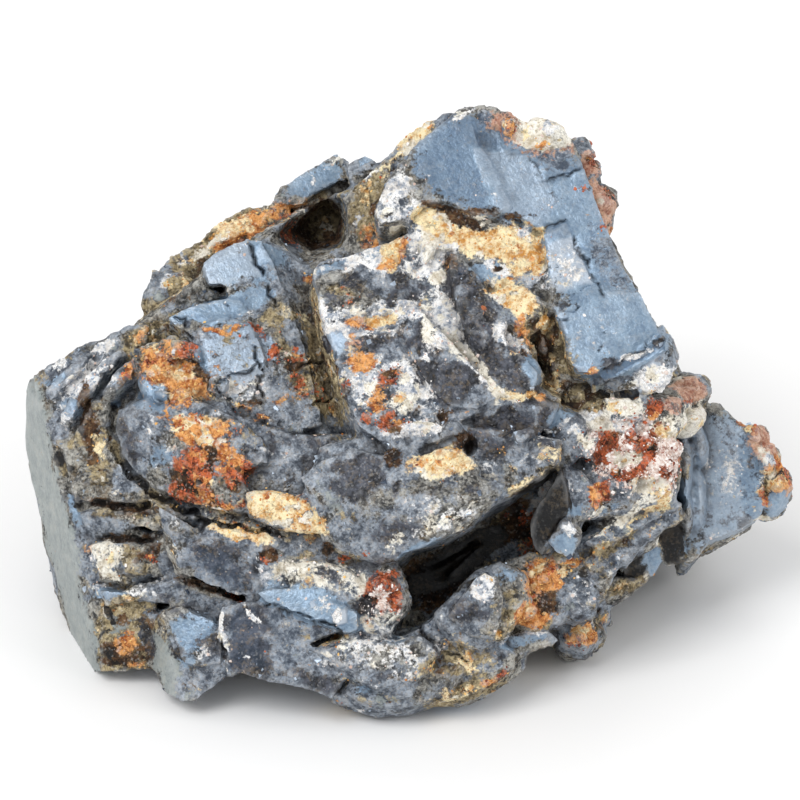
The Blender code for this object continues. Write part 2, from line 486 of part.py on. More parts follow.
def grow_middle_ledge(growth):
    """The heavy ledge across the middle, which overhangs the cave."""
    block("ledge", [
        (-6.6, -3.7), (-3.8, -2.9), (-0.6, -2.9), (3.2, -2.6), (5.6, -1.9), (9.6, -2.4), (12.8, -3.2),
        (12.8, -4.8), (11.6, -6.2), (9.8, -7.2), (7.8, -8.3), (6.2, -9.4), (5.4, -10.2), (3.7, -11.2),
        (2.4, -11.6), (0.8, -12.0), (-0.3, -13.0), (-2.2, -13.0), (-4.4, -12.2), (-6.2, -11.6),
        (-6.6, -9.6), (-8.0, -7.8),
    ], 11.8,
        (0.04, -0.08), 9.0, growth, spread=-0.8, edge=(0.7, 0.6))
    hull("ledge_belly", [
        (-6.7, -5.0, 11.6), (-4.0, -3.7, 12.0), (-0.3, -5.0, 12.8), (1.6, -6.7, 13.4),
        (5.6, -6.7, 13.4), (8.5, -6.7, 12.8), (7.7, -8.2, 12.6), (5.6, -9.8, 12.8), (3.2, -11.0, 12.8),
        (0.3, -12.0, 12.6), (-1.6, -12.8, 12.2), (-4.0, -12.0, 12.0), (-5.9, -11.2, 11.4),
        (-2.2, -8.4, 13.8), (1.0, -9.3, 13.8), (4.2, -8.5, 13.8), (-4.8, -6.4, 9.0), (8.0, -7.2, 9.0),
    ], growth)
    hull("ledge_hip", [
        (-8.0, -6.2, 11.0), (-5.9, -4.5, 11.5), (-3.5, -4.2, 12.0), (-2.2, -6.2, 12.9),
        (-4.0, -8.0, 12.6), (-6.2, -8.5, 12.0), (-6.4, -6.4, 8.0), (-4.0, -6.4, 8.0),
    ], growth)
    block("ochre_shelf", [
        (0.3, -5.1), (1.4, -4.5), (3.2, -3.8), (5.0, -4.0), (5.9, -4.6), (6.4, -5.6), (5.3, -6.3),
        (1.9, -6.6), (0.6, -6.4),
    ], 13.1,
        (0.0, -0.3), 4.0, growth, edge=(0.3, 0.3))
    block("brow_chips", [
        (-0.3, -11.8), (0.3, -10.9), (1.9, -10.6), (3.8, -10.6), (4.5, -11.0), (2.9, -11.7),
        (1.0, -12.2), (0.0, -12.6),
    ], 12.9,
        (0.0, 0.3), 4.0, growth, edge=(0.3, 0.3))
    block("pale_sill", [
        (-2.4, -2.9), (-0.5, -2.2), (2.4, -1.9), (4.6, -1.8), (5.0, -2.6), (3.2, -3.4), (0.3, -3.8),
        (-1.4, -3.7),
    ], 12.3, (0.0, 0.15),
        5.0, growth, edge=(0.4, 0.4))
    block("dark_step", [
        (5.6, -1.0), (7.4, -0.2), (11.2, 0.3), (12.8, -0.6), (12.2, -2.1), (10.4, -3.2), (8.0, -3.5),
        (6.2, -2.7),
    ], 11.0, (0.05, 0.3),
        8.0, growth, edge=(0.4, 0.3))
    block("blue_step", [
        (10.9, -1.6), (12.8, -0.6), (14.7, -1.6), (15.0, -3.2), (13.6, -3.7), (11.8, -3.2),
    ], 9.8, (0.1, 0.1), 7.0, growth,
        edge=(0.3, 0.3))
    block("olive_step", [
        (11.5, -3.8), (12.8, -3.2), (14.6, -3.2), (14.9, -4.5), (13.3, -5.3), (11.8, -5.0),
    ], 9.6, (0.1, 0.0), 7.0, growth,
        edge=(0.3, 0.3))
    rubble("ledge_rubble", [
        (-0.6, -2.9), (5.6, -1.9), (12.8, -3.2), (11.6, -6.2), (7.8, -8.3), (5.6, -8.0), (5.6, -4.8),
        (0.3, -4.8),
    ], 12.3,
        (0.04, -0.08), 6, (0.9, 2.2), growth, 6, proud=0.6)


def grow_lower_left(growth):
    """The dark facets, the long pale crystal and the cubes along the lower left."""
    block("dark_facet", [
        (-17.1, -14.2), (-17.3, -12.8), (-17.1, -11.7), (-15.7, -10.9), (-13.6, -11.2), (-11.5, -12.2),
        (-11.0, -14.0), (-10.7, -15.4), (-12.0, -16.0), (-14.1, -15.5),
    ],
        9.4, (0.15, 0.25), 8.0, growth)
    block("ochre_strip", [
        (-15.5, -9.8), (-12.8, -10.1), (-9.3, -10.9), (-10.2, -12.0), (-12.0, -12.3), (-14.2, -11.5),
        (-15.8, -10.7),
    ], 9.8, (0.1, -0.3), 6.0,
        growth, edge=(0.3, 0.3))
    block("pale_apron", [
        (-12.0, -10.9), (-9.1, -10.1), (-5.4, -11.0), (-2.2, -12.6), (0.0, -13.3), (0.3, -15.7),
        (-0.8, -18.6), (-3.0, -18.9), (-6.4, -17.0), (-8.8, -15.5), (-11.0, -15.2), (-11.5, -13.3),
    ], 10.2, (0.06, -0.1), 8.0, growth, edge=(0.5, 0.5))
    block("apron_swell", [
        (-9.4, -13.3), (-6.4, -12.8), (-3.8, -13.8), (-2.7, -15.2), (-3.5, -16.6), (-6.4, -16.0),
        (-8.8, -14.9),
    ], 11.2, (0.06, 0.0), 4.0,
        growth, edge=(0.5, 0.8))
    block("long_pale_crystal", [
        (-11.5, -15.4), (-10.4, -15.0), (-8.8, -15.0), (-6.6, -15.5), (-4.8, -16.3), (-3.4, -17.0),
        (-3.3, -18.4), (-4.4, -18.7), (-6.6, -17.9), (-8.8, -17.0), (-10.7, -16.2),
    ], 11.4, (0.08, -0.1), 6.0, growth)
    block("dark_block", [
        (-14.3, -16.5), (-12.8, -16.2), (-11.0, -16.1), (-9.3, -16.7), (-7.2, -17.8), (-5.0, -18.6),
        (-6.6, -19.2), (-7.7, -19.8), (-6.2, -21.0), (-4.4, -22.2), (-5.5, -23.9), (-6.6, -23.4),
        (-8.0, -23.0), (-9.3, -22.8), (-10.4, -22.6), (-11.6, -22.2), (-13.0, -21.8), (-13.9, -22.2),
        (-13.8, -20.0), (-14.6, -18.1),
    ], 10.4,
        (0.12, 0.05), 7.0, growth, spread=-0.6)
    hull("corner_crystal", [
        (-18.9, -17.0, 7.0), (-17.9, -16.5, 7.2), (-14.9, -17.4, 8.6), (-14.2, -18.7, 8.8),
        (-13.8, -20.8, 9.0), (-14.2, -22.4, 8.8), (-15.4, -23.4, 8.6), (-16.5, -24.2, 8.6),
        (-17.5, -24.2, 8.2), (-18.8, -23.4, 6.4), (-19.5, -22.1, 5.0), (-19.8, -21.1, 4.4),
        (-19.8, -19.2, 5.0), (-19.8, -17.8, 5.0), (-20.2, -19.2, 1.0), (-20.2, -16.5, -3.0),
        (-13.3, -16.3, -3.0), (-13.1, -19.2, -1.0), (-13.1, -21.1, 3.0), (-17.6, -19.8, -0.6),
    ], growth)
    block("corner_pane", [
        (-18.7, -17.1), (-17.8, -16.6), (-14.9, -17.6), (-14.6, -18.6), (-14.2, -20.0), (-14.4, -21.1),
        (-16.0, -21.4), (-17.3, -21.0), (-18.1, -19.2),
    ], 8.9,
        (0.25, -0.05), 3.0, growth)
    block("left_corner", [
        (-24.0, -21.8), (-23.9, -18.3), (-23.8, -16.5), (-21.6, -16.2), (-19.5, -16.3), (-19.7, -19.2),
        (-19.8, -21.4), (-20.6, -21.4), (-21.9, -21.6),
    ], 4.4,
        (0.15, 0.1), 6.0, growth)
    rubble("apron_rubble", [
        (-11.4, -11.6), (-5.6, -12.0), (0.0, -13.6), (-0.3, -17.6), (-3.0, -18.4), (-8.8, -15.2),
        (-11.0, -14.8),
    ], 10.2,
        (0.06, -0.1), 3, (0.8, 2.2), growth, 7, proud=0.5)


def grow_bottom(growth):
    """The frosted lump at the bottom, and the facets that close the cave from below."""
    block("bottom_lump", [
        (-7.7, -19.8), (-4.4, -18.4), (0.0, -18.7), (2.4, -17.1), (5.6, -15.2), (8.8, -13.3),
        (10.4, -14.0), (9.6, -16.0), (8.6, -18.9), (10.4, -20.2), (10.1, -21.5), (8.6, -22.6),
        (7.0, -23.7), (4.9, -24.4), (3.0, -24.3), (0.8, -25.0), (-1.9, -25.2), (-4.2, -24.5),
        (-5.5, -23.9), (-4.3, -22.1),
    ], 9.9,
        (-0.05, -0.12), 4.0, growth, spread=-2.2, edge=(2.4, 1.6))
    block("bottom_front", [
        (-7.2, -20.0), (-4.0, -18.9), (0.0, -19.2), (2.1, -18.6), (3.2, -20.2), (2.4, -22.1),
        (0.3, -23.0), (-1.9, -23.4), (-3.8, -22.6),
    ], 11.6,
        (0.0, 0.0), 4.0, growth, edge=(0.8, 1.0))
    block("bottom_bed", [
        (-7.5, -20.2), (-4.0, -19.2), (3.2, -17.6), (8.0, -15.2), (12.5, -17.0), (11.7, -19.2),
        (8.0, -21.1), (3.2, -23.2), (-2.4, -24.0), (-5.3, -23.4),
    ],
        7.4, (-0.05, -0.1), 5.0, growth)
    block("cave_rim", [
        (2.6, -17.0), (4.5, -15.2), (6.1, -13.6), (8.0, -12.8), (9.9, -13.8), (10.2, -15.8),
        (9.1, -17.8), (8.6, -19.2), (6.4, -20.0), (4.2, -19.5), (3.0, -18.4),
    ], 10.6, (0.0, -0.05), 6.0, growth, edge=(0.6, 0.6))
    hull("rim_crest", [
        (5.8, -14.6, 12.4), (6.7, -13.8, 12.6), (7.8, -14.2, 12.4), (8.2, -16.0, 12.4),
        (7.4, -19.2, 11.6), (5.6, -18.9, 11.4), (3.7, -17.3, 11.2), (5.0, -15.7, 11.8),
        (8.0, -19.2, 7.0), (4.0, -17.6, 7.0), (6.7, -13.9, 7.0),
    ], growth)
    block("bottom_right_steps", [
        (7.0, -19.5), (9.6, -18.6), (11.8, -18.4), (12.8, -19.2), (11.5, -19.8), (10.4, -20.2),
        (9.6, -21.3), (8.0, -22.1), (7.2, -21.1),
    ],
        8.4, (-0.1, 0.0), 6.0, growth, edge=(0.4, 0.4))
    lump("red_druse_0", (-1.3, -14.9, 8.8), (2.0, 1.5, 3.4), growth, seed=20)
    lump("red_druse_1", (-1.6, -17.0, 9.0), (1.9, 1.7, 3.2), growth, seed=21)
    lump("red_druse_2", (-0.3, -16.0, 8.6), (1.3, 1.6, 3.0), growth, seed=22)
    rubble("bottom_rubble", [
        (-5.6, -20.0), (0.0, -19.4), (5.6, -19.2), (8.0, -20.0), (6.4, -22.4), (0.8, -23.6),
        (-4.0, -23.2),
    ], 10.6,
        (-0.05, -0.1), 5, (1.0, 2.4), growth, 8, proud=0.5)


def grow_right_mass(growth):
    """The granular mass at the right, the black crystal in it and the banded shoulder below it."""
    block("granular_body", [
        (14.6, -0.3), (16.0, 0.5), (19.2, 0.2), (21.1, 0.6), (22.7, 0.2), (23.2, -1.6), (22.2, -3.2),
        (22.7, -5.6), (22.4, -8.0), (19.2, -9.0), (16.0, -9.3), (14.7, -6.4), (14.4, -3.2),
    ], 8.0, (-0.2, -0.12), 9.0, growth, spread=0.6, edge=(1.2, 1.2))
    lump("granular_swell", (18.4, -3.8, 5.2), (3.8, 3.6, 4.4), growth, rough=0.12, seed=31)
    lump("granular_swell_low", (16.0, -6.4, 5.8), (2.4, 3.0, 3.8), growth, rough=0.12, seed=32)
    block("pale_crust", [
        (16.0, 0.2), (18.2, 0.3), (19.8, -0.3), (19.2, -1.4), (17.0, -1.6), (16.2, -1.0),
    ], 9.0, (-0.1, -0.3), 4.0, growth,
        edge=(0.5, 0.5))
    lump("pink_lump", (23.2, 0.8, -0.6), (1.9, 1.6, 3.0), growth, seed=33)
    lump("pink_lump_low", (21.8, -0.2, 2.4), (2.0, 1.9, 3.4), growth, seed=34)
    block("banded_shoulder", [
        (11.6, -12.5), (14.0, -11.2), (16.0, -9.6), (19.2, -8.5), (22.6, -8.0), (23.2, -9.3),
        (21.0, -10.4), (19.2, -11.6), (17.8, -12.8), (17.1, -14.4), (16.5, -16.0), (15.4, -17.0),
        (13.8, -17.6), (12.8, -16.0), (12.0, -14.4),
    ], 7.0, (-0.18, -0.1), 8.0, growth, edge=(0.6, 0.6))
    block("band_0", [
        (14.7, -11.2), (17.6, -9.3), (21.8, -7.8), (22.7, -8.3), (19.2, -10.2), (16.0, -12.2),
    ], 7.2, (-0.15, -0.4), 4.0, growth,
        edge=(0.2, 0.2))
    block("band_1", [
        (15.2, -13.0), (17.0, -11.5), (20.0, -10.1), (21.0, -10.4), (18.2, -12.0), (16.3, -13.6),
    ], 7.15, (-0.15, -0.4), 4.0, growth,
        edge=(0.2, 0.2))
    block("speckled_step", [
        (13.3, -15.2), (14.2, -14.1), (15.4, -13.3), (16.0, -15.2), (15.8, -17.3), (14.1, -17.9),
        (13.0, -17.3),
    ], 7.2, (-0.1, -0.1), 6.0,
        growth, edge=(0.3, 0.3))
    block("black_crystal", [
        (12.9, -5.4), (11.6, -7.5), (10.2, -9.6), (10.7, -11.8), (11.3, -12.5), (11.8, -11.4),
        (13.6, -9.6), (13.4, -7.2),
    ], 10.2,
        (0.35, 0.15), 6.0, growth)
    block("crystal_back", [
        (13.0, -5.3), (14.7, -5.6), (16.3, -7.7), (15.7, -9.6), (13.8, -9.8), (13.3, -7.2),
    ], 9.8, (-0.2, 0.0), 6.0, growth,
        edge=(0.4, 0.4))
    block("black_crystal_foot", [
        (11.8, -11.4), (13.1, -9.5), (14.6, -11.0), (13.6, -12.6), (12.5, -12.2),
    ], 10.8, (0.0, 0.35), 5.0, growth)
    block("orange_hollow_floor", [
        (8.6, -12.8), (10.4, -12.2), (12.8, -12.5), (13.9, -13.6), (13.8, -16.0), (13.0, -17.8),
        (10.4, -18.6), (8.8, -17.6), (9.6, -15.2),
    ],
        7.8, (0.0, -0.1), 6.0, growth, edge=(0.5, 0.5))
    rubble("granular_rubble", [
        (14.9, -0.6), (19.2, 0.0), (22.7, -0.3), (22.2, -5.6), (22.1, -7.8), (16.0, -9.0),
        (14.9, -4.8),
    ], 8.4,
        (-0.2, -0.12), 12, (0.8, 2.0), growth, 9, proud=0.8)
    rubble("shoulder_rubble", [
        (11.8, -12.8), (16.0, -10.0), (21.6, -8.4), (19.2, -11.2), (16.3, -15.2), (13.3, -16.8),
        (9.6, -18.0), (9.2, -13.6),
    ], 7.6,
        (-0.15, -0.1), 8, (0.8, 2.2), growth, 10, proud=0.6)


def grow_far_right(growth):
    """The separate cube at the far right with its stained tip, the steps under it and the low knob."""
    block("far_right_crystal", [
        (22.0, -3.7), (24.5, -0.3), (25.1, -0.1), (25.8, -0.5), (27.0, -1.7), (28.0, -2.2),
        (28.6, -3.4), (29.0, -4.8), (29.2, -8.0), (29.0, -9.1), (28.0, -9.7), (27.5, -10.1),
        (26.4, -10.7), (24.8, -11.3), (24.0, -12.3), (23.2, -13.0), (22.8, -12.8), (22.4, -9.6),
    ], -1.4, (-0.12, -0.2), 10.0, growth, spread=-1.0)
    hull("beige_bevel", [
        (22.0, -3.7, 0.4), (24.8, -0.5, -1.4), (24.6, 0.1, -1.8), (22.7, -0.2, 0.2), (21.9, -0.6, 1.4),
        (21.6, -2.4, 2.0), (23.2, -2.4, -8.0), (21.8, -3.2, -6.0), (24.0, -0.8, -8.0),
    ], growth)
    lump("stained_tip_0", (28.2, -2.9, -4.4), (1.5, 1.1, 2.8), growth, seed=40)
    lump("stained_tip_1", (29.3, -5.0, -4.4), (1.7, 1.9, 3.2), growth, seed=41)
    lump("stained_tip_2", (30.2, -6.9, -4.6), (1.5, 1.9, 3.2), growth, seed=42)
    lump("stained_tip_3", (29.4, -8.3, -4.8), (1.8, 1.6, 3.2), growth, seed=43)
    hull("under_step_0", [
        (21.0, -10.4, 0.8), (22.6, -9.8, 0.8), (22.9, -13.0, 0.2), (21.3, -13.4, 0.2),
        (20.8, -12.2, 0.6), (21.4, -12.2, -6.0), (22.7, -12.0, -6.0), (22.4, -9.6, -6.0),
        (20.8, -10.4, -6.0),
    ], growth)
    hull("under_step_1", [
        (18.7, -11.7, 1.8), (19.7, -11.3, 2.0), (20.2, -14.1, 1.2), (19.2, -14.2, 1.2),
        (17.8, -13.9, 1.6), (17.8, -12.8, 1.8), (19.5, -13.0, -5.0), (20.2, -11.7, -5.0),
        (19.7, -10.4, -5.0), (18.1, -12.2, -5.0),
    ], growth)
    hull("under_step_2", [
        (19.8, -11.2, 1.6), (20.5, -10.9, 1.4), (21.1, -12.8, 0.8), (20.3, -14.2, 0.8),
        (20.0, -12.5, -5.0), (20.8, -11.8, -5.0), (20.5, -10.9, -5.0),
    ], growth)
    hull("under_bulge", [
        (15.5, -15.0, 2.4), (17.0, -14.2, 2.4), (19.2, -14.2, 1.6), (19.8, -14.4, 1.0),
        (18.4, -15.2, 1.4), (17.0, -16.0, 1.2), (16.5, -17.0, 1.4), (15.7, -16.8, 2.2),
        (18.4, -13.8, -6.0), (15.5, -15.5, -6.0), (16.0, -13.6, -2.0),
    ], growth)
    lump("low_knob", (14.2, -19.0, 1.2), (2.8, 2.2, 3.2), growth, seed=51)
    lump("low_knob_side", (15.4, -18.7, 0.0), (1.4, 1.5, 2.6), growth, seed=52)
    lump("low_knob_neck", (16.0, -17.0, 0.0), (1.0, 1.5, 2.6), growth, seed=53)


# Pits -------------------------------------------------------------------------------------------


def cut_hollows(hollows):
    """The cave under the ledge, the pit behind the left crystals, and small pits."""
    hull("cave", [
        (0.0, -13.0, 15.0), (0.6, -12.2, 15.0), (1.9, -11.8, 15.0), (4.0, -11.2, 15.0),
        (5.4, -10.5, 15.0), (6.7, -9.5, 15.0), (8.0, -8.6, 15.0), (9.0, -8.2, 15.0), (9.3, -9.6, 15.0),
        (7.8, -11.7, 15.0), (6.2, -13.5, 15.0), (4.8, -14.8, 15.0), (3.2, -16.0, 15.0),
        (1.6, -16.9, 15.0), (1.0, -16.6, 15.0), (0.8, -15.2, 15.0), (0.3, -14.1, 15.0),
        (1.9, -13.8, 1.0), (4.2, -13.0, 0.0), (6.2, -11.7, 0.0), (7.7, -10.2, 1.0), (3.2, -14.6, 1.0),
    ], hollows)
    hull("cave_throat", [
        (5.6, -10.2, 15.0), (6.7, -9.4, 15.0), (8.0, -8.5, 15.0), (9.4, -7.7, 15.0),
        (11.6, -6.4, 15.0), (12.6, -6.0, 14.0), (12.0, -7.2, 14.0), (10.5, -9.5, 15.0),
        (10.9, -11.7, 14.0), (9.6, -12.2, 15.0), (7.8, -11.8, 15.0), (8.0, -9.6, 5.0),
        (9.6, -8.5, 6.0), (9.9, -9.9, 6.4), (8.8, -10.9, 6.0),
    ],
        hollows)
    hull("cave_corner", [
        (-0.2, -13.3, 15.0), (0.5, -12.5, 15.0), (1.1, -13.9, 15.0), (1.4, -17.0, 15.0),
        (0.6, -17.4, 15.0), (0.3, -16.0, 15.0), (1.1, -15.2, 7.0), (0.6, -13.4, 6.0),
    ], hollows)
    hull("top_pit", [
        (-10.7, 13.0, 0.0), (-9.2, 14.7, 0.0), (-8.0, 16.2, 0.0), (-5.2, 17.3, 0.0), (-4.5, 16.6, 0.0),
        (-4.2, 14.7, 0.0), (-4.0, 13.1, 2.0), (-4.5, 11.7, 6.0), (-5.6, 11.5, 6.0), (-6.6, 11.0, 6.0),
        (-7.6, 10.2, 6.0), (-8.2, 10.6, 4.0), (-8.8, 11.7, 3.0), (-9.8, 12.6, 2.0),
        (-6.1, 15.5, -12.0), (-4.8, 14.7, -12.0), (-5.0, 12.8, -11.0), (-7.0, 12.3, -11.0),
        (-8.0, 13.8, -11.0),
    ], hollows)
    hull("left_notch", [
        (-15.8, 9.3, 8.0), (-13.9, 9.4, 8.0), (-13.8, 8.3, 8.0), (-15.4, 8.2, 8.0), (-15.5, 9.1, -2.0),
        (-14.1, 9.1, -2.0), (-14.2, 8.5, -2.0),
    ], hollows)
    lump("rim_pit_0", (1.4, -1.0, 12.2), (1.0, 0.7, 1.6), hollows, seed=62)
    lump("rim_pit_1", (3.5, -1.3, 12.4), (0.7, 1.0, 1.8), hollows, seed=63)
    lump("rim_pit_2", (5.6, -3.7, 12.4), (0.7, 1.2, 2.4), hollows, seed=64)
    lump("rust_pit", (-1.0, 2.1, 12.4), (0.9, 0.6, 1.4), hollows, seed=66)
    lump("apron_pit_0", (-10.4, -12.0, 11.2), (0.9, 0.9, 1.6), hollows, seed=67)
    lump("apron_pit_1", (-5.8, -11.9, 11.4), (0.9, 0.8, 1.8), hollows, seed=68)
    lump("crown_pit", (3.8, 11.0, 10.2), (0.6, 0.9, 2.0), hollows, seed=69)
    lump("groove_pit", (10.6, 4.4, 11.4), (0.7, 1.6, 3.0), hollows, seed=70)


# The hidden side --------------------------------------------------------------------------------

REAR_SEED = 11
REAR_CRYSTALS = 23


def grow_rear(growth):
    """Cleavage cubes over the sides and the rear, parallel to the upper crystal or nearly so."""
    chance = random.Random(REAR_SEED)
    placed = 0
    while placed < REAR_CRYSTALS:
        around = math.radians(chance.uniform(0, 360))
        back = chance.uniform(-27, -5)
        narrow = math.sqrt(max(0.0, 1 - ((back + 3) / 28) ** 2))
        right = 1 + math.cos(around) * 22.0 * narrow
        up = 1 + math.sin(around) * 15.0 * narrow
        size = [chance.uniform(4, 11) for _ in range(3)]
        turn, lean = chance.uniform(-0.12, 0.12), chance.uniform(-0.15, 0.15)
        axes = lattice_axes(LATTICE_TURN + turn, LATTICE_LEAN + lean)
        corners = [
            axes @ Vector((size[0] * i / 2, size[1] * j / 2, size[2] * k / 2)) + Vector((right, up, back))
            for i in (-1, 1) for j in (-1, 1) for k in (-1, 1)
        ]
        if not all(inside(OUTER_LIMIT, c.x, c.y) and c.z < -3 for c in corners):
            continue
        cube(f"rear_crystal_{placed}", (right, up, back), size, growth, axes)
        placed += 1


# Assembly ---------------------------------------------------------------------------------------


def ground_block(collection):
    """The half space above the base, as one large block."""
    mesh = bpy.data.meshes.new("above_base")
    shape = bmesh.new()
    bmesh.ops.create_cube(shape, size=2 * BASE_REACH * MM)
    bmesh.ops.translate(shape, verts=shape.verts, vec=(0, 0, BASE_REACH * MM))
    shape.to_mesh(mesh)
    shape.free()
    return operand("above_base", mesh, collection)


def collection_named(name):
    """A collection for the pieces of one Boolean."""
    made = bpy.data.collections.new(name)
    bpy.context.scene.collection.children.link(made)
    return made


def boolean(obj, name, operation, collection):
    """Adds one exact Boolean of obj with everything in a collection."""
    modifier = obj.modifiers.new(name, "BOOLEAN")
    modifier.operation = operation
    modifier.solver = "EXACT"
    modifier.use_self = operation == "UNION"
    modifier.operand_type = "COLLECTION"
    modifier.collection = collection


def skin_of(shape):
    """The outer skin of a mesh: its largest connected piece. The rest are voids sealed inside it."""
    left = set(shape.verts)
    pieces = []
    while left:
        piece = set()
        front = [left.pop()]
        while front:
            vertex = front.pop()
            piece.add(vertex)
            near = [edge.other_vert(vertex) for edge in vertex.link_edges]
            fresh = [v for v in near if v in left]
            left.difference_update(fresh)
            front.extend(fresh)
        pieces.append(piece)
    return max(pieces, key=len)


def make_solid(obj):
    """Settles an object's modifiers into its mesh and fills the voids between the grown pieces."""
    graph = bpy.context.evaluated_depsgraph_get()
    settled = bpy.data.meshes.new_from_object(obj.evaluated_get(graph))
    shape = bmesh.new()
    shape.from_mesh(settled)
    skin = skin_of(shape)
    bmesh.ops.delete(shape, geom=[v for v in shape.verts if v not in skin], context="VERTS")
    obj.modifiers.clear()
    shape.to_mesh(obj.data)
    shape.free()


def galena_material():
    """Lead-grey metal, dulled by weathering."""
    material = bpy.data.materials.new("galena")
    material.use_nodes = True
    shader = material.node_tree.nodes["Principled BSDF"]
    shader.inputs["Base Color"].default_value = (0.22, 0.26, 0.32, 1)
    shader.inputs["Metallic"].default_value = 0.7
    shader.inputs["Roughness"].default_value = 0.45
    return material


def build():
    """Fuses the matrix, the crystals and the hollows into the one specimen."""
    clear_scene()
    growth, hollows, base = (collection_named(n) for n in ("growth", "hollows", "base"))
    for grow in (
        grow_upper_crystal, grow_centre, grow_left_crystals, grow_back_ridge, grow_upper_right_crust,
        grow_left_mass, grow_middle_ledge, grow_lower_left, grow_bottom, grow_right_mass,
        grow_far_right, grow_rear,
    ):
        grow(growth)
    cut_hollows(hollows)
    ground_block(base)
    core = hull("core", core_points(), growth)
    growth.objects.unlink(core)
    bpy.context.scene.collection.objects.link(core)
    core.name = "galena_specimen"
    core.hide_render = False
    core.display_type = "TEXTURED"
    core.data.materials.append(galena_material())
    boolean(core, "grow", "UNION", growth)
    boolean(core, "hollow", "DIFFERENCE", hollows)
    boolean(core, "stand", "INTERSECT", base)
    make_solid(core)
    for used in [obj for obj in bpy.data.objects if obj is not core]:
        bpy.data.objects.remove(used)
    return core


build()
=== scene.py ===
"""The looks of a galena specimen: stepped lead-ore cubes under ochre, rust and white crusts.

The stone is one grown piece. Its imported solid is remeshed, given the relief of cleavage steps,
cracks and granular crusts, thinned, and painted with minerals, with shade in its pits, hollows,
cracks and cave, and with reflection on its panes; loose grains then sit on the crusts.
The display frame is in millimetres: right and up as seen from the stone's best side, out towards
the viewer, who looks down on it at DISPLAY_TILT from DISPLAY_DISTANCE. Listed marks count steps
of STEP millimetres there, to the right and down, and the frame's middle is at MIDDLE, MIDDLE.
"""

import logging
import math
from dataclasses import dataclass, field
from enum import Enum

import bmesh
import bpy
import numpy as np
from mathutils import Matrix, Vector


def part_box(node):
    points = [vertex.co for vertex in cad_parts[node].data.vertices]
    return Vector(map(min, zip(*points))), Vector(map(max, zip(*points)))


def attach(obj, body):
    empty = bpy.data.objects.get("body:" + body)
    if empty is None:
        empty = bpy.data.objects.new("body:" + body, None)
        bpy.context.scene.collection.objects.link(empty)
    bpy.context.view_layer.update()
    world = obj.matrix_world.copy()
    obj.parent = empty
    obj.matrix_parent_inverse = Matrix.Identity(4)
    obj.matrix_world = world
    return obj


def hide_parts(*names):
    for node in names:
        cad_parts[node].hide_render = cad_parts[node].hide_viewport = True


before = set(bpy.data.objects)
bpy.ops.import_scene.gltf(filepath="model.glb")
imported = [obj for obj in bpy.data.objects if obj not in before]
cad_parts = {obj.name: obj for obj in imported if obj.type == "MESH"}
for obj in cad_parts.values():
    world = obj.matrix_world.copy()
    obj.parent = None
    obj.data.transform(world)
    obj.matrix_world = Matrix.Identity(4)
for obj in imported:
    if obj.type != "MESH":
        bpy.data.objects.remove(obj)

Array = np.ndarray
Socket = bpy.types.NodeSocket

MM = 0.001
DISPLAY_TILT = math.radians(30)
DISPLAY_DISTANCE = 711.0
DISPLAY_HEIGHT = 18.0
STEP = 0.08
MIDDLE = 400
LATTICE_TURN = math.radians(27)
LATTICE_LEAN = math.radians(17)
NODE = "galena_specimen"

RIGHT = np.array((1.0, 0.0, 0.0))
UP = np.array((0.0, math.sin(DISPLAY_TILT), math.cos(DISPLAY_TILT)))
OUT = np.array((0.0, -math.cos(DISPLAY_TILT), math.sin(DISPLAY_TILT)))
FOOT = np.array((0.0, 0.0, DISPLAY_HEIGHT))

log = logging.getLogger("galena")


def to_display(points: Array) -> Array:
    """Takes points to the display frame: w = p . OUT, and (u, v) = p . (RIGHT, UP) / (1 - w / distance).

    Args:
        points: an N x 3 array of millimetres in the stone's own frame.

    Returns:
        An N x 3 array of right, up and out, in millimetres.
    """
    lifted = points - FOOT
    out = lifted @ OUT
    nearness = 1 - out / DISPLAY_DISTANCE
    return np.column_stack((lifted @ RIGHT / nearness, lifted @ UP / nearness, out))


def from_display(place: Array) -> Array:
    """Takes display points back to the stone's own frame, the inverse of to_display.

    Args:
        place: an N x 3 array of right, up and out, in millimetres.

    Returns:
        An N x 3 array of millimetres.
    """
    nearness = (1 - place[:, 2] / DISPLAY_DISTANCE)[:, None]
    flat = place[:, :1] * RIGHT + place[:, 1:2] * UP
    return flat * nearness + place[:, 2:] * OUT + FOOT


def placed(across: float, down: float) -> tuple[float, float]:
    """A mark's right and up, to 0.1 mm, from its steps across and down."""
    return round((across - MIDDLE) * STEP, 1), round((MIDDLE - down) * STEP, 1)


def spanned(length: float, width: float) -> tuple[float, float]:
    """A mark's half length, to 0.1 mm, and half width, to 0.01 mm, from their steps."""
    return round(length * STEP, 1), round(width * STEP, 2)


def lattice_axes() -> Array:
    """The three cleavage directions as rows: Rx(-lean) Rz(turn) in display axes, turned into the stone's.

    Returns:
        A 3 x 3 array, each row a unit direction.
    """
    turned = np.array(Matrix.Rotation(-LATTICE_LEAN, 3, "X") @ Matrix.Rotation(LATTICE_TURN, 3, "Z"))
    return turned.T @ np.stack((RIGHT, UP, OUT))


def smooth_rise(low: float, high: float, value: Array) -> Array:
    """The cubic t * t * (3 - 2 t) of t = (value - low) / (high - low), held from 0 to 1.

    Args:
        low: the value that gives 0.
        high: the value that gives 1.
        value: an array.

    Returns:
        An array of the same shape.
    """
    share = np.clip((value - low) / (high - low), 0, 1)
    return share * share * (3 - 2 * share)


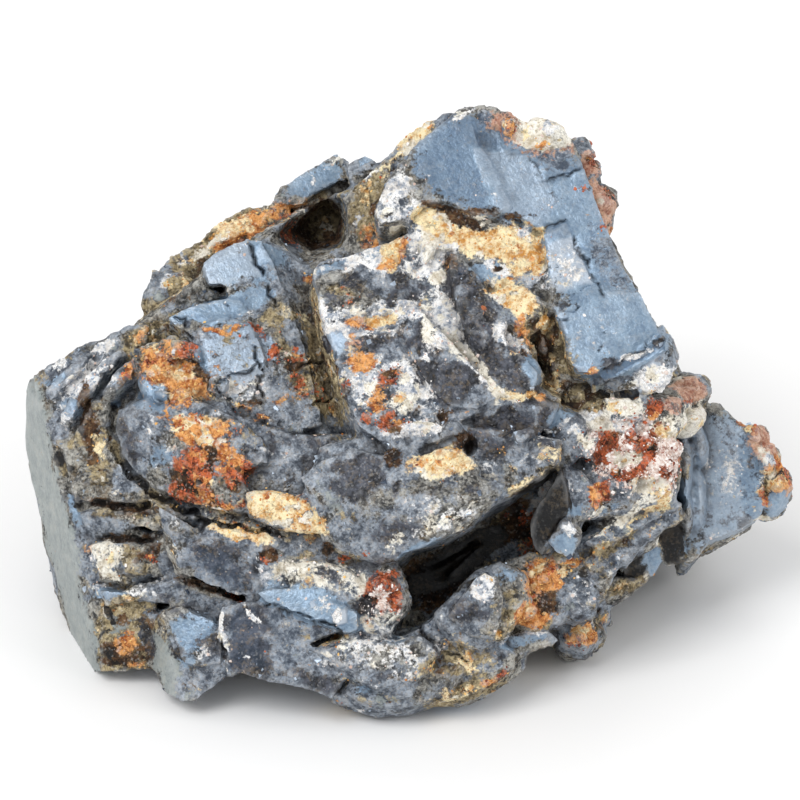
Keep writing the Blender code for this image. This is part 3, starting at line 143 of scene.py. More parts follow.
@dataclass(frozen=True)
class NoiseField:
    """Seeded noise of points in millimetres, worked out for whole arrays."""

    seed: int

    def of_cells(self, cells: Array, salt: int = 0) -> Array:
        """A number from 0 to 1 for each whole-number cell, by multiplying and folding its indices.

        Args:
            cells: an N x 3 array of whole numbers.
            salt: picks one of many unrelated fields.

        Returns:
            An array of N numbers.
        """
        index = cells.astype(np.int64)
        code = index[:, 0] * 73856093 ^ index[:, 1] * 19349663 ^ index[:, 2] * 83492791
        code = (code ^ (self.seed * 7919 + salt) * 2654435761) & 0xFFFFFFFF
        for shift in (15, 12, 16):
            code = ((code ^ (code >> shift)) * 739982445) & 0xFFFFFFFF
        return ((code ^ (code >> 15)) & 0xFFFFFF) / 0xFFFFFF

    def wave(self, points: Array, size: float, salt: int = 0) -> Array:
        """Value noise about 0, from -1 to 1: corner numbers joined by t * t * (3 - 2 t) along each axis.

        Args:
            points: an N x 3 array.
            size: the width of a cell.
            salt: picks one of many unrelated fields.

        Returns:
            An array of N numbers.
        """
        scaled = points / size
        base = np.floor(scaled)
        share = scaled - base
        share = share * share * (3 - 2 * share)
        total = np.zeros(len(points))
        for corner in np.ndindex(2, 2, 2):
            weight = np.prod(np.where(np.array(corner) == 1, share, 1 - share), axis=1)
            total += weight * self.of_cells(base + corner, salt)
        return total * 2 - 1

    def rough(self, points: Array, size: float, octaves: int, salt: int = 0) -> Array:
        """Layers of wave(), each half as large and 0.55 as strong as the one before.

        Args:
            points: an N x 3 array.
            size: the width of the largest cell.
            octaves: how many layers.
            salt: picks one of many unrelated fields.

        Returns:
            An array of N numbers, mostly from -1 to 1.
        """
        turn = np.array(Matrix.Rotation(0.7, 3, Vector((1, 2, 3))))
        total = np.zeros(len(points))
        strength = 1.0
        for layer in range(octaves):
            total += strength * self.wave(points, size, salt + layer * 31)
            points = points @ turn
            size *= 0.5
            strength *= 0.55
        return total

    def grains(self, points: Array, size: float, salt: int = 0) -> tuple[Array, Array]:
        """Distance to the nearest of the points strewn one to a cell, and that point's own number.

        Args:
            points: an N x 3 array.
            size: the width of a cell.
            salt: picks one of many unrelated fields.

        Returns:
            The distances as a share of size, and the numbers from 0 to 1.
        """
        scaled = points / size
        base = np.floor(scaled)
        nearest = np.full(len(points), 9.0)
        number = np.zeros(len(points))
        for corner in np.ndindex(3, 3, 3):
            cell = base + corner - 1
            heart = np.column_stack([self.of_cells(cell, salt + k + 1) for k in range(3)])
            distance = np.linalg.norm(cell + heart - scaled, axis=1)
            closer = distance < nearest
            nearest = np.where(closer, distance, nearest)
            number = np.where(closer, heart[:, 0], number)
        return nearest, number


class Mineral(Enum):
    """The minerals and stains of the stone, with the brown and near black used for painted shade, in the
    order in which they lie on each other.
    """

    MATRIX = "matrix"
    SLATE = "slate"
    STEEL = "steel"
    CHARCOAL = "charcoal"
    PEWTER = "pewter"
    FROST = "frost"
    OLIVE = "olive"
    # umber: brown stain, and also painted shadow in lines under ledges and painted shade in holes and pits
    UMBER_STAIN_AND_SHADE = "umber_stain_and_shade"
    CREAM = "cream"
    OCHRE = "ochre"
    ORANGE = "orange"
    RUST = "rust"
    DRUSE = "druse"
    ROSE = "rose"
    # near black that is painted shade: in pits, slits and the cave, on shaded steps and on the black
    # crystal's face
    SHADE_BLACK = "shade_black"


@dataclass(frozen=True)
class MineralFinish:
    """How one mineral looks and how its surface stands.

    dark and light are sRGB from 0 to 255; grain is the height of its granules and step that of its
    cleavage steps, in millimetres.
    """

    dark: tuple[int, int, int]
    light: tuple[int, int, int]
    rough: float
    metal: float = 0.0
    grain: float = 0.0
    step: float = 0.0


M = Mineral
FINISHES: dict[Mineral, MineralFinish] = {
    M.MATRIX: MineralFinish((52, 52, 52), (178, 176, 168), 0.85, 0.0, 0.16, 0.0),
    M.SLATE: MineralFinish((58, 65, 76), (166, 176, 188), 0.5, 0.3, 0.04, 0.16),
    M.STEEL: MineralFinish((96, 118, 142), (158, 180, 200), 0.36, 0.45, 0.0, 0.08),
    M.CHARCOAL: MineralFinish((20, 21, 26), (86, 90, 101), 0.5, 0.2, 0.10, 0.14),
    M.PEWTER: MineralFinish((124, 132, 133), (166, 173, 171), 0.42, 0.15, 0.0, 0.03),
    M.FROST: MineralFinish((134, 145, 162), (255, 254, 252), 0.6, 0.0, 0.14, 0.06),
    M.OLIVE: MineralFinish((70, 60, 42), (182, 166, 130), 0.85, 0.0, 0.14, 0.0),
    # umber: brown stain, and painted shadow where it is laid in lines under ledges and in pits
    M.UMBER_STAIN_AND_SHADE: MineralFinish((24, 16, 11), (104, 70, 42), 0.85, 0.0, 0.16, 0.0),
    M.CREAM: MineralFinish((186, 172, 146), (255, 252, 240), 0.75, 0.0, 0.10, 0.0),
    M.OCHRE: MineralFinish((196, 136, 62), (252, 236, 192), 0.8, 0.0, 0.14, 0.0),
    M.ORANGE: MineralFinish((150, 74, 26), (244, 176, 106), 0.85, 0.0, 0.18, 0.0),
    M.RUST: MineralFinish((74, 32, 18), (206, 108, 62), 0.85, 0.0, 0.20, 0.0),
    M.DRUSE: MineralFinish((156, 72, 42), (250, 238, 230), 0.55, 0.0, 0.26, 0.0),
    M.ROSE: MineralFinish((152, 92, 70), (224, 184, 160), 0.75, 0.0, 0.16, 0.0),
    # near black painted shade, for pits, slits, the cave and shaded faces
    M.SHADE_BLACK: MineralFinish((4, 4, 6), (22, 23, 27), 0.4, 0.1, 0.03, 0.03),
}


@dataclass(frozen=True)
class Crack:
    """A groove between two display points, with its half width and depth in millimetres."""

    start: tuple[float, float]
    end: tuple[float, float]
    width: float
    depth: float


@dataclass(frozen=True)
class Pane:
    """A cleavage pane: an outline, in steps across and down, that stands off its surroundings by lift.

    Shade is painted reflection and shade: it runs from -1, dark and blue, to 1, pale and grey.
    """

    lift: float
    shade: float
    outline: tuple[tuple[float, float], ...]


@dataclass(frozen=True)
class Filling:
    """Crust lodged in a cleft: an ellipse in the display plane, turned in degrees, that comes out by out."""

    right: float
    up: float
    long: float
    short: float
    turn: float
    out: float


@dataclass(frozen=True)
class Mottle:
    """A second mineral that breaks through a first one, over a share of it, in spots of a size in mm."""

    host: Mineral
    guest: Mineral
    size: float
    share: float
    strength: float


# each mark: across, down, half its length and width, its turn in degrees and its strength
PAINT: tuple[tuple[Mineral, tuple], ...] = (
    # the base tones of each part of the stone
    (M.SLATE, (
        (500, 330, 260, 260, 0, 0.5), (430, 480, 160, 110, 0, 0.6), (250, 450, 140, 130, 0, 0.5),
        (330, 660, 160, 70, -15, 0.9),
    )),
    # upper crystal
    (M.STEEL, (
        (480, 165, 75, 50, -20, 1), (565, 215, 60, 60, 0, 1), (615, 305, 90, 48, -60, 1),
        (600, 340, 60, 40, 20, 1),
    )),
    (M.SLATE, (
        (556, 163, 24, 13, 25, 0.6), (545, 205, 22, 10, 25, 0.35), (612, 262, 46, 17, -62, 0.6),
        (488, 124, 9, 16, 0, 0.7),
    )),
    (M.FROST, (
        (505, 160, 14, 8, 0, 0.25), (552, 205, 16, 9, 25, 0.3), (568, 262, 22, 26, -20, 0.45),
        (620, 290, 20, 6, -60, 0.3), (460, 112, 20, 5, 10, 0.7), (410, 212, 30, 10, 10, 0.7),
        (395, 190, 24, 12, 60, 0.85), (380, 215, 14, 22, 0, 0.7), (425, 178, 10, 6, 0, 0.35),
    )),
    (M.CREAM, ((560, 255, 12, 7, 20, 0.4), (572, 281, 14, 5, 20, 0.35))),
    (M.STEEL, ((555, 231, 14, 7, 25, 0.9), (600, 335, 52, 34, 20, 1))),
    (M.CHARCOAL, ((608, 362, 14, 6, 27, 0.8), (658, 341, 9, 6, 10, 0.9), (447, 116, 6, 4, 0, 0.6))),
    # the second mark is the floor's painted reflection on the silver foot
    (M.FROST, ((634, 354, 22, 4, 27, 1), (655, 380, 28, 17, 20, 1))),
    (M.SLATE, ((607, 384, 28, 8, 18, 0.9),)),
    (M.CHARCOAL, ((661, 360, 6, 5, 0, 0.9), (615, 386, 14, 4, 10, 0.6))),
    (M.ORANGE, ((590, 373, 8, 4, 10, 1),)),
    # knob and red crust behind it
    (M.ROSE, (
        (535, 132, 50, 22, -15, 0.8), (588, 165, 15, 24, -50, 1), (602, 205, 22, 28, 0, 1),
        (612, 240, 8, 14, 0, 1),
    )),
    (M.CREAM, ((545, 132, 28, 16, -10, 1), (548, 130, 18, 12, 0, 1), (524, 140, 12, 6, 0, 0.8))),
    (M.FROST, ((552, 128, 12, 8, 0, 0.7),)),
    (M.ORANGE, (
        (508, 128, 9, 12, 0, 0.9), (540, 143, 7, 4, 0, 0.9), (505, 113, 7, 4, 0, 0.8),
        (612, 235, 5, 10, 0, 0.6),
    )),
    (M.RUST, (
        (566, 124, 6, 8, 0, 0.9), (593, 160, 12, 6, -50, 0.7), (605, 222, 12, 9, 60, 0.5),
        (585, 192, 5, 4, 0, 0.8), (610, 190, 10, 6, -60, 0.5),
    )),
    (M.CREAM, ((600, 203, 6, 6, 0, 0.6),)),
    # crusted rim left of the upper crystal
    (M.OCHRE, ((412, 138, 34, 13, 38, 0.95),)),
    (M.CREAM, ((405, 150, 16, 6, 35, 0.6), (425, 128, 10, 4, 35, 0.5))),
    (M.SLATE, ((444, 112, 8, 8, 0, 0.7), (392, 155, 10, 5, 30, 0.6))),
    # back ridge, back crystals and pit
    (M.OLIVE, ((165, 290, 40, 34, 40, 1), (215, 245, 70, 26, 35, 1), (370, 205, 40, 22, 75, 1))),
    (M.ORANGE, ((242, 230, 48, 17, 28, 0.9), (372, 235, 20, 14, 60, 0.6), (190, 280, 14, 14, 0, 0.4))),
    (M.OCHRE, ((235, 228, 34, 9, 30, 0.6), (385, 168, 13, 8, 40, 0.6))),
    (M.CREAM, ((200, 254, 10, 6, 20, 0.6), (220, 240, 20, 5, 30, 0.5))),
    (M.SLATE, (
        (152, 285, 12, 20, 30, 0.9), (172, 268, 20, 9, 35, 0.9), (185, 303, 32, 9, 20, 0.6),
        (287, 195, 8, 12, 0, 0.9), (360, 165, 20, 14, 20, 1),
    )),
    (M.OLIVE, ((186, 280, 14, 16, 0, 0.8),)),
    (M.UMBER_STAIN_AND_SHADE, ((178, 298, 22, 5, 15, 0.6),)),
    (M.STEEL, ((318, 177, 30, 14, 25, 1), (365, 160, 14, 5, 15, 0.8))),
    (M.FROST, (
        (310, 172, 14, 4, -75, 0.6), (335, 163, 14, 4, 20, 0.8), (368, 174, 14, 4, 25, 0.9),
        (358, 215, 14, 4, 90, 0.4),
    )),
    (M.CREAM, ((325, 168, 9, 6, 20, 0.4),)),
    (M.RUST, ((362, 185, 8, 5, 0, 0.5),)),
    (M.UMBER_STAIN_AND_SHADE, ((315, 225, 52, 42, 0, 1),)),
    (M.OLIVE, ((330, 215, 34, 22, 90, 0.7),)),
    (M.OLIVE, ((322, 218, 34, 26, 0, 0.5),)),
    # near-black painted shade at the bottom of the pit
    (M.SHADE_BLACK, ((318, 262, 12, 8, 0, 0.5),)),
    (M.RUST, ((285, 232, 20, 18, 0, 0.75),)),
    (M.ORANGE, ((292, 205, 16, 10, 20, 0.6),)),
    # left crystals
    (M.MATRIX, ((290, 315, 70, 24, -65, 0.8),)),
    (M.SLATE, (
        (250, 262, 48, 27, 15, 1), (285, 265, 24, 18, 0, 0.6), (245, 306, 20, 14, 0, 0.8),
        (230, 350, 44, 30, -15, 0.8),
    )),
    (M.STEEL, ((235, 262, 32, 18, 25, 0.9), (215, 310, 48, 10, 12, 0.8), (236, 384, 26, 11, 30, 0.8))),
    (M.FROST, (
        (222, 285, 16, 4, 15, 0.5), (190, 306, 22, 4, 25, 0.7), (228, 352, 36, 23, -15, 0.5),
        (225, 376, 14, 5, 25, 0.5),
    )),
    (M.CREAM, ((272, 278, 13, 4, 10, 0.5),)),
    (M.OCHRE, ((228, 352, 26, 14, -15, 0.25),)),
    (M.OLIVE, ((306, 360, 70, 26, -65, 0.9), (326, 395, 26, 11, -75, 0.8))),
    (M.RUST, (
        (215, 330, 16, 5, -5, 0.8), (250, 330, 14, 5, 5, 0.8), (269, 345, 20, 7, -65, 0.85),
        (300, 350, 10, 8, 0, 0.7), (290, 340, 14, 5, -60, 0.5), (300, 385, 24, 10, -60, 0.7),
        (320, 390, 14, 8, -60, 0.5),
    )),
    (M.ORANGE, (
        (232, 328, 30, 5, 0, 0.4), (285, 397, 16, 10, 0, 0.5), (243, 405, 14, 6, -20, 0.9),
        (262, 421, 13, 9, -30, 0.85),
    )),
    (M.UMBER_STAIN_AND_SHADE, ((214, 289, 14, 6, 8, 1), (256, 400, 10, 6, 0, 0.8))),
    (M.CHARCOAL, ((258, 371, 9, 6, 0, 0.7), (259, 388, 14, 5, -75, 0.7))),
    # the left shoulder and the plate beside it
    (M.SLATE, ((85, 385, 56, 44, 20, 1),)),
    (M.OLIVE, ((65, 352, 16, 5, 30, 0.8), (150, 335, 32, 15, 15, 1))),
    (M.FROST, (
        (80, 385, 34, 12, 42, 1), (98, 358, 22, 8, 50, 0.8), (62, 415, 16, 13, 0, 0.6),
        (58, 364, 14, 7, 20, 0.7), (108, 390, 18, 7, 60, 0.5),
    )),
    (M.STEEL, ((58, 380, 14, 8, 40, 0.8), (70, 405, 18, 14, 0, 0.6))),
    (M.CREAM, ((112, 370, 12, 4, 60, 0.6), (55, 365, 8, 5, 0, 0.4))),
    (M.ORANGE, ((140, 335, 12, 6, 0, 0.5),)),
    (M.UMBER_STAIN_AND_SHADE, ((145, 345, 12, 4, 15, 0.5), (122, 381, 13, 4, 50, 0.7))),
    (M.RUST, ((127, 372, 8, 7, 30, 0.95),)),
    (M.MATRIX, ((170, 332, 14, 10, 0, 0.5), (105, 430, 40, 13, 85, 0.9))),
    (M.OLIVE, ((93, 430, 36, 13, 90, 0.8), (98, 468, 18, 10, 0, 0.6))),
    (M.UMBER_STAIN_AND_SHADE, ((86, 418, 40, 8, 95, 0.9), (90, 460, 10, 6, 0, 0.5))),
    (M.CREAM, ((106, 478, 14, 6, 20, 0.4),)),
    (M.PEWTER, ((36, 440, 72, 19, -84, 1), (58, 530, 80, 24, -75, 1), (80, 630, 60, 23, -65, 1))),
    (M.CHARCOAL, ((80, 518, 30, 8, -68, 0.9),)),
    (M.STEEL, ((78, 520, 12, 5, -60, 0.6), (72, 503, 10, 4, -70, 0.6))),
    # near-black painted shade in the pits beside the plate
    (M.SHADE_BLACK, (
        (60, 457, 8, 6, -20, 1), (68, 467, 6, 4, 0, 0.9), (78, 508, 7, 3, -60, 0.9),
        (82, 535, 8, 5, 30, 0.9),
    )),
    # the stained lip
    (M.SLATE, ((130, 432, 32, 38, 0, 1),)),
    (M.CHARCOAL, ((130, 445, 28, 15, -60, 0.5), (118, 408, 9, 6, 0, 0.5))),
    (M.STEEL, ((112, 404, 12, 7, 0, 0.5), (147, 388, 18, 15, 0, 0.9))),
    (M.FROST, ((152, 397, 12, 8, 0, 0.5), (162, 457, 19, 18, 0, 0.5))),
    (M.STEEL, ((160, 458, 14, 14, 0, 0.5),)),
    (M.CHARCOAL, ((158, 450, 9, 3, 30, 0.6), (166, 463, 7, 3, 40, 0.5))),
    (M.OLIVE, ((114, 448, 20, 4, -65, 0.8), (158, 500, 26, 6, -28, 0.8))),
    (M.CREAM, ((142, 488, 22, 4, -25, 0.5),)),
    (M.ORANGE, (
        (175, 372, 48, 28, -25, 1), (168, 402, 32, 18, -10, 0.85), (204, 430, 48, 18, -10, 1),
        (238, 450, 42, 11, -5, 1), (266, 457, 16, 6, -5, 0.8),
    )),
    (M.OCHRE, ((165, 372, 22, 9, 0, 0.3), (185, 395, 20, 8, 0, 0.3))),
    (M.FROST, ((175, 352, 7, 4, 0, 0.4), (155, 392, 12, 8, 0, 0.5))),
    (M.RUST, ((192, 352, 16, 15, -30, 0.9), (165, 360, 14, 5, 0, 0.4))),
    # painted shadow cast by the left crystal's side
    (M.UMBER_STAIN_AND_SHADE, ((200, 370, 22, 6, -65, 0.7),)),
    (M.SLATE, (
        (180, 412, 15, 6, 20, 0.6), (165, 425, 14, 5, 0, 0.6), (226, 410, 30, 8, -5, 0.75),
        (290, 450, 60, 28, -15, 1),
    )),
    (M.CREAM, ((202, 424, 22, 5, -15, 0.4), (215, 440, 20, 4, 0, 0.35))),
    (M.CHARCOAL, ((302, 470, 32, 15, 10, 0.5),)),
    (M.FROST, ((276, 452, 30, 4, -10, 0.45), (295, 462, 16, 8, 30, 0.35))),
    (M.RUST, (
        (195, 472, 26, 30, 0, 1), (185, 492, 20, 13, 0, 1), (237, 474, 17, 19, -30, 1),
        (226, 505, 22, 8, 0, 0.9), (208, 496, 16, 10, 0, 0.6),
    )),
    (M.UMBER_STAIN_AND_SHADE, ((182, 480, 14, 8, -40, 0.7), (210, 462, 14, 7, 90, 0.6), (205, 448, 10, 4, 0, 0.4))),
    (M.ORANGE, (
        (205, 490, 13, 15, 0, 0.5), (226, 466, 10, 9, 0, 0.5), (212, 508, 18, 6, 0, 0.6),
        (196, 455, 14, 5, 0, 0.5),
    )),
    (M.MATRIX, ((222, 484, 13, 9, -70, 0.6),)),
    (M.OCHRE, ((278, 508, 44, 15, -18, 1), (240, 531, 38, 9, -18, 0.9))),
    (M.CREAM, ((278, 508, 30, 8, -18, 0.45), (254, 498, 15, 8, 0, 0.5), (235, 532, 30, 6, -18, 0.45))),
    # lower left
    (M.MATRIX, ((122, 525, 44, 40, 0, 1),)),
    (M.OLIVE, ((120, 512, 34, 10, 0, 0.7), (150, 520, 22, 18, -50, 0.5), (135, 565, 26, 15, 0, 0.7))),
    (M.UMBER_STAIN_AND_SHADE, (
        (105, 504, 22, 3, -5, 0.9), (132, 511, 22, 5, -10, 0.7), (130, 538, 36, 4, 3, 0.85),
        (152, 547, 15, 8, -50, 0.7),
    )),
    (M.RUST, ((153, 557, 6, 5, 0, 0.8),)),
    (M.CREAM, ((135, 521, 24, 3, -10, 0.5), (108, 560, 25, 22, -30, 0.8))),
    (M.ORANGE, ((90, 550, 12, 8, -40, 0.45), (122, 575, 14, 6, 0, 0.3))),
    (M.SLATE, ((120, 569, 9, 8, 0, 0.7), (160, 586, 30, 12, -10, 0.8))),
    (M.FROST, ((90, 559, 8, 4, -60, 0.7), (98, 586, 7, 4, 0, 1), (140, 592, 28, 5, -5, 0.7))),
    (M.STEEL, ((105, 592, 22, 7, 0, 0.7),)),
    (M.OLIVE, ((125, 637, 30, 36, 0, 1),)),
    (M.UMBER_STAIN_AND_SHADE, ((140, 655, 34, 20, -10, 0.6),)),
    (M.PEWTER, ((120, 630, 14, 12, 0, 0.4),)),
    (M.UMBER_STAIN_AND_SHADE, ((116, 660, 22, 8, 0, 0.8), (146, 622, 12, 10, 0, 0.7))),
    (M.ORANGE, ((126, 642, 12, 15, 0, 0.8), (137, 668, 16, 4, 10, 0.6), (118, 610, 11, 5, 0, 0.7))),
    # near-black painted shade in slits at the lower left
    (M.SHADE_BLACK, ((108, 618, 14, 4, -70, 1), (104, 634, 7, 5, 0, 0.9), (107, 655, 9, 4, 0, 0.8))),
    (M.CHARCOAL, ((150, 642, 22, 9, -70, 0.5),)),
    (M.PEWTER, ((168, 668, 34, 14, -70, 0.9),)),
    (M.STEEL, ((192, 630, 28, 19, -5, 0.9), (188, 660, 14, 8, 0, 0.6))),
    (M.CHARCOAL, ((200, 640, 20, 6, 0, 0.5), (176, 652, 12, 8, 0, 0.5))),
    (M.FROST, ((205, 652, 18, 8, 0, 0.5), (205, 672, 12, 8, 0, 0.4))),
    (M.SLATE, ((192, 686, 16, 17, 0, 0.95),)),
    # near-black painted shade in slits on the corner crystal
    (M.SHADE_BLACK, ((214, 634, 8, 8, 0, 1), (195, 651, 14, 3, 5, 0.9), (182, 659, 6, 4, 0, 0.8))),
    (M.UMBER_STAIN_AND_SHADE, ((160, 604, 20, 5, -15, 0.9),)),
    (M.CHARCOAL, ((182, 616, 20, 3, -20, 0.8),)),
    # lower blocks
    (M.SLATE, ((222, 562, 42, 28, -22, 1),)),
    (M.CHARCOAL, ((212, 548, 26, 12, -20, 0.7), (258, 642, 50, 36, -12, 1))),
    # painted shadow line under the dark facet, with rust beside it
    (M.UMBER_STAIN_AND_SHADE, ((210, 590, 42, 4, -22, 0.9),)),
    (M.RUST, ((236, 597, 13, 4, -10, 0.7),)),
    (M.SLATE, ((300, 652, 42, 26, -25, 0.75), (280, 622, 24, 10, -10, 0.5))),
    (M.FROST, (
        (224, 632, 28, 3, -72, 1), (228, 668, 9, 4, -80, 0.8), (253, 616, 13, 3, -70, 0.95),
        (246, 656, 9, 2, 10, 0.8),
    )),
    (M.CHARCOAL, ((318, 682, 30, 10, -22, 0.8),)),
    # apron and long pale crystal
    (M.OLIVE, ((325, 556, 40, 10, -5, 0.6),)),
    (M.CREAM, ((312, 576, 54, 19, -5, 0.75), (366, 592, 20, 15, 90, 0.7))),
    (M.OCHRE, ((330, 573, 30, 8, 0, 0.3), (310, 540, 12, 6, 0, 0.6))),
    (M.SLATE, ((312, 540, 24, 10, 0, 0.5), (292, 542, 12, 10, 0, 0.7))),
    (M.FROST, ((262, 575, 22, 5, -80, 0.7),)),
    # painted shade in two small holes in the apron
    (M.UMBER_STAIN_AND_SHADE, ((270, 552, 11, 10, 0, 1), (328, 547, 10, 9, 0, 0.95))),
    (M.RUST, (
        (266, 561, 6, 4, 0, 0.8), (365, 553, 9, 3, -40, 0.8), (345, 557, 9, 3, 0, 0.7),
        (278, 558, 5, 4, 0, 0.5),
    )),
    (M.STEEL, ((312, 609, 60, 19, -18, 1), (357, 620, 14, 13, 0, 0.8))),
    (M.FROST, ((320, 605, 18, 8, -18, 0.6), (285, 600, 14, 6, 0, 0.4), (340, 618, 10, 5, 70, 1))),
    (M.CHARCOAL, ((300, 623, 50, 3, -22, 0.8),)),
    # the ledge over the cave
    (M.MATRIX, ((430, 500, 100, 44, 10, 0.5),)),
    (M.SLATE, ((350, 470, 40, 22, -20, 0.7),)),
    (M.CHARCOAL, ((352, 474, 34, 26, -10, 0.85), (310, 440, 30, 14, -10, 0.5))),
    (M.CREAM, ((486, 474, 14, 10, 0, 0.6), (430, 520, 34, 8, 20, 0.4))),
    (M.FROST, (
        (435, 512, 60, 24, 15, 0.3), (440, 522, 42, 7, 22, 0.5), (412, 429, 36, 9, 0, 0.9),
        (487, 462, 13, 12, 0, 0.6),
    )),
    (M.CHARCOAL, (
        (385, 530, 32, 18, -10, 0.5), (440, 490, 24, 6, 0, 0.5), (470, 489, 9, 8, 0, 0.6),
        (395, 490, 12, 6, 90, 0.6),
    )),
    (M.CREAM, ((396, 541, 16, 7, 50, 0.5), (465, 525, 16, 4, 30, 0.5))),
    (M.STEEL, ((425, 546, 32, 6, 20, 0.9), (410, 551, 20, 4, 20, 0.6))),
    (M.OCHRE, ((440, 465, 38, 15, 5, 1), (385, 463, 9, 6, 0, 0.5), (452, 450, 16, 7, 0, 0.7))),
    (M.CREAM, ((432, 472, 26, 7, 5, 0.45),)),
    # painted shade in the pits under the centre block and beside the ochre shelf, brown and, deepest, near
    # black
    (M.UMBER_STAIN_AND_SHADE, (
        (392, 457, 14, 10, 0, 0.85), (442, 415, 14, 8, 90, 1), (417, 411, 10, 5, 0, 0.9),
        (465, 441, 13, 12, 0, 1),
    )),
    (M.SHADE_BLACK, ((467, 448, 10, 6, 80, 0.9),)),
    (M.ORANGE, ((482, 448, 11, 4, 0, 0.7),)),
    # the cave, filled with brown and near-black painted shade, its red lining and the crystal below it
    (M.UMBER_STAIN_AND_SHADE, ((430, 580, 44, 30, 20, 0.8), (505, 528, 34, 16, 40, 0.95), (520, 520, 20, 20, 0, 0.7))),
    (M.OLIVE, ((500, 520, 20, 9, 40, 0.5),)),
    # near-black painted shade deep in the cave
    (M.SHADE_BLACK, ((450, 568, 60, 22, 28, 1), (480, 545, 34, 14, 35, 0.9), (460, 592, 32, 10, 30, 0.8))),
    (M.RUST, ((522, 518, 20, 9, 0, 0.6), (525, 552, 22, 13, 80, 0.6))),
    (M.DRUSE, ((384, 594, 21, 25, 0, 1), (368, 615, 16, 8, -80, 0.8))),
    (M.RUST, ((386, 576, 20, 10, 20, 0.85), (394, 596, 10, 14, 0, 0.5))),
    (M.CREAM, ((382, 624, 26, 14, 0, 0.6),)),
    (M.ORANGE, ((382, 622, 20, 10, 0, 0.35),)),
    (M.SLATE, ((462, 615, 44, 24, 20, 1), (502, 560, 14, 12, 0, 0.7))),
    (M.FROST, ((484, 587, 15, 15, 0, 0.9),)),
    (M.CREAM, ((490, 580, 9, 8, 0, 0.45),)),
    (M.OLIVE, ((505, 600, 20, 12, -80, 0.55), (480, 635, 24, 6, 0, 0.4))),
    (M.STEEL, ((505, 576, 15, 9, 0, 0.6),)),
    # the bottom lump
    (M.MATRIX, ((400, 672, 64, 36, 0, 0.5),)),
    (M.FROST, ((385, 655, 56, 32, 0, 0.55),)),
    (M.SLATE, ((380, 684, 44, 14, -18, 0.6),)),
    (M.STEEL, ((362, 694, 16, 6, 0, 0.6), (395, 640, 18, 8, 0, 0.3))),
    (M.OCHRE, (
        (338, 640, 26, 6, 28, 0.7), (415, 675, 11, 10, 0, 0.5), (455, 645, 20, 5, 0, 0.4),
        (435, 702, 20, 5, 10, 0.4),
    )),
    (M.CREAM, ((342, 645, 20, 5, 20, 0.5), (330, 655, 20, 4, -20, 0.4))),
    (M.UMBER_STAIN_AND_SHADE, ((330, 638, 16, 3, 30, 0.5),)),
    (M.CHARCOAL, ((430, 640, 22, 4, -50, 0.6),)),
    (M.FROST, ((440, 645, 9, 4, -50, 0.9),)),
    (M.OLIVE, ((452, 662, 42, 17, 10, 0.8), (470, 692, 52, 12, 20, 0.85), (532, 662, 30, 16, 25, 0.85))),
    (M.OCHRE, ((460, 693, 28, 6, 18, 0.6),)),
    (M.ORANGE, ((485, 680, 7, 4, 0, 0.9), (500, 676, 13, 5, 30, 0.5))),
    (M.RUST, ((503, 672, 8, 5, 30, 0.8),)),
    (M.STEEL, ((520, 640, 34, 6, 12, 0.8),)),
    (M.FROST, ((518, 636, 30, 3, 12, 0.6),)),
    # near-black painted shade in a thin line along the steel band
    (M.SHADE_BLACK, ((515, 639, 13, 3, 15, 0.5),)),
    (M.CHARCOAL, ((500, 652, 9, 8, 0, 0.6),)),
    # rust right of the cave, the black crystal and its foot
    (M.OLIVE, ((545, 556, 24, 12, 0, 0.7),)),
    (M.ORANGE, ((540, 582, 26, 26, 0, 0.95), (530, 616, 28, 13, 0, 1), (560, 575, 18, 10, 30, 0.85))),
    (M.UMBER_STAIN_AND_SHADE, ((552, 603, 18, 11, 0, 0.85),)),
    (M.RUST, ((530, 596, 14, 24, -20, 0.45),)),
    (M.ORANGE, ((528, 616, 20, 10, 0, 0.9), (544, 586, 10, 14, 0, 0.7))),
    (M.OCHRE, ((500, 627, 15, 8, 40, 0.5),)),
    (M.OLIVE, ((535, 482, 32, 9, 32, 0.95),)),
    (M.OCHRE, ((528, 481, 26, 4, 32, 0.6),)),
    (M.UMBER_STAIN_AND_SHADE, ((549, 478, 14, 3, 45, 0.7),)),
    # the black crystal's face: near-black painted shade
    (M.SHADE_BLACK, ((546, 503, 46, 30, 60, 1), (540, 546, 13, 6, -80, 0.9))),
    (M.FROST, ((544, 493, 32, 3, 58, 1), (573, 500, 16, 3, -75, 0.8), (571, 529, 10, 7, -45, 1))),
    (M.STEEL, ((561, 545, 17, 10, 10, 1),)),
    # the granular right mass
    (M.CHARCOAL, ((515, 418, 44, 24, 10, 1), (500, 442, 28, 18, 0, 1), (545, 430, 24, 14, 0, 0.8))),
    (M.SLATE, ((522, 452, 22, 20, 0, 0.8), (585, 482, 22, 18, 0, 0.7))),
    (M.FROST, ((536, 460, 15, 6, 0, 0.5), (590, 475, 13, 8, 0, 0.4))),
    (M.ORANGE, ((506, 460, 17, 5, -60, 0.6),)),
    (M.STEEL, ((560, 416, 20, 10, 30, 0.7),)),
    (M.FROST, ((555, 430, 26, 4, 30, 0.7), (577, 432, 8, 8, 0, 0.6))),
    (M.CHARCOAL, ((552, 444, 12, 6, 0, 0.5),)),
    (M.OCHRE, ((560, 453, 23, 11, 0, 0.85),)),
    (M.OLIVE, ((560, 453, 20, 9, 0, 0.4),)),
    (M.DRUSE, ((635, 450, 54, 42, -10, 1), (670, 462, 32, 12, 90, 0.95))),
    (M.FROST, ((626, 424, 26, 9, 0, 0.45), (590, 415, 13, 9, 0, 1))),
    (M.CREAM, ((620, 405, 26, 11, 0, 1), (670, 425, 22, 12, 90, 0.6))),
    (M.RUST, (
        (652, 410, 14, 8, 70, 1), (646, 446, 16, 13, 0, 0.7), (604, 446, 16, 11, 0, 0.7),
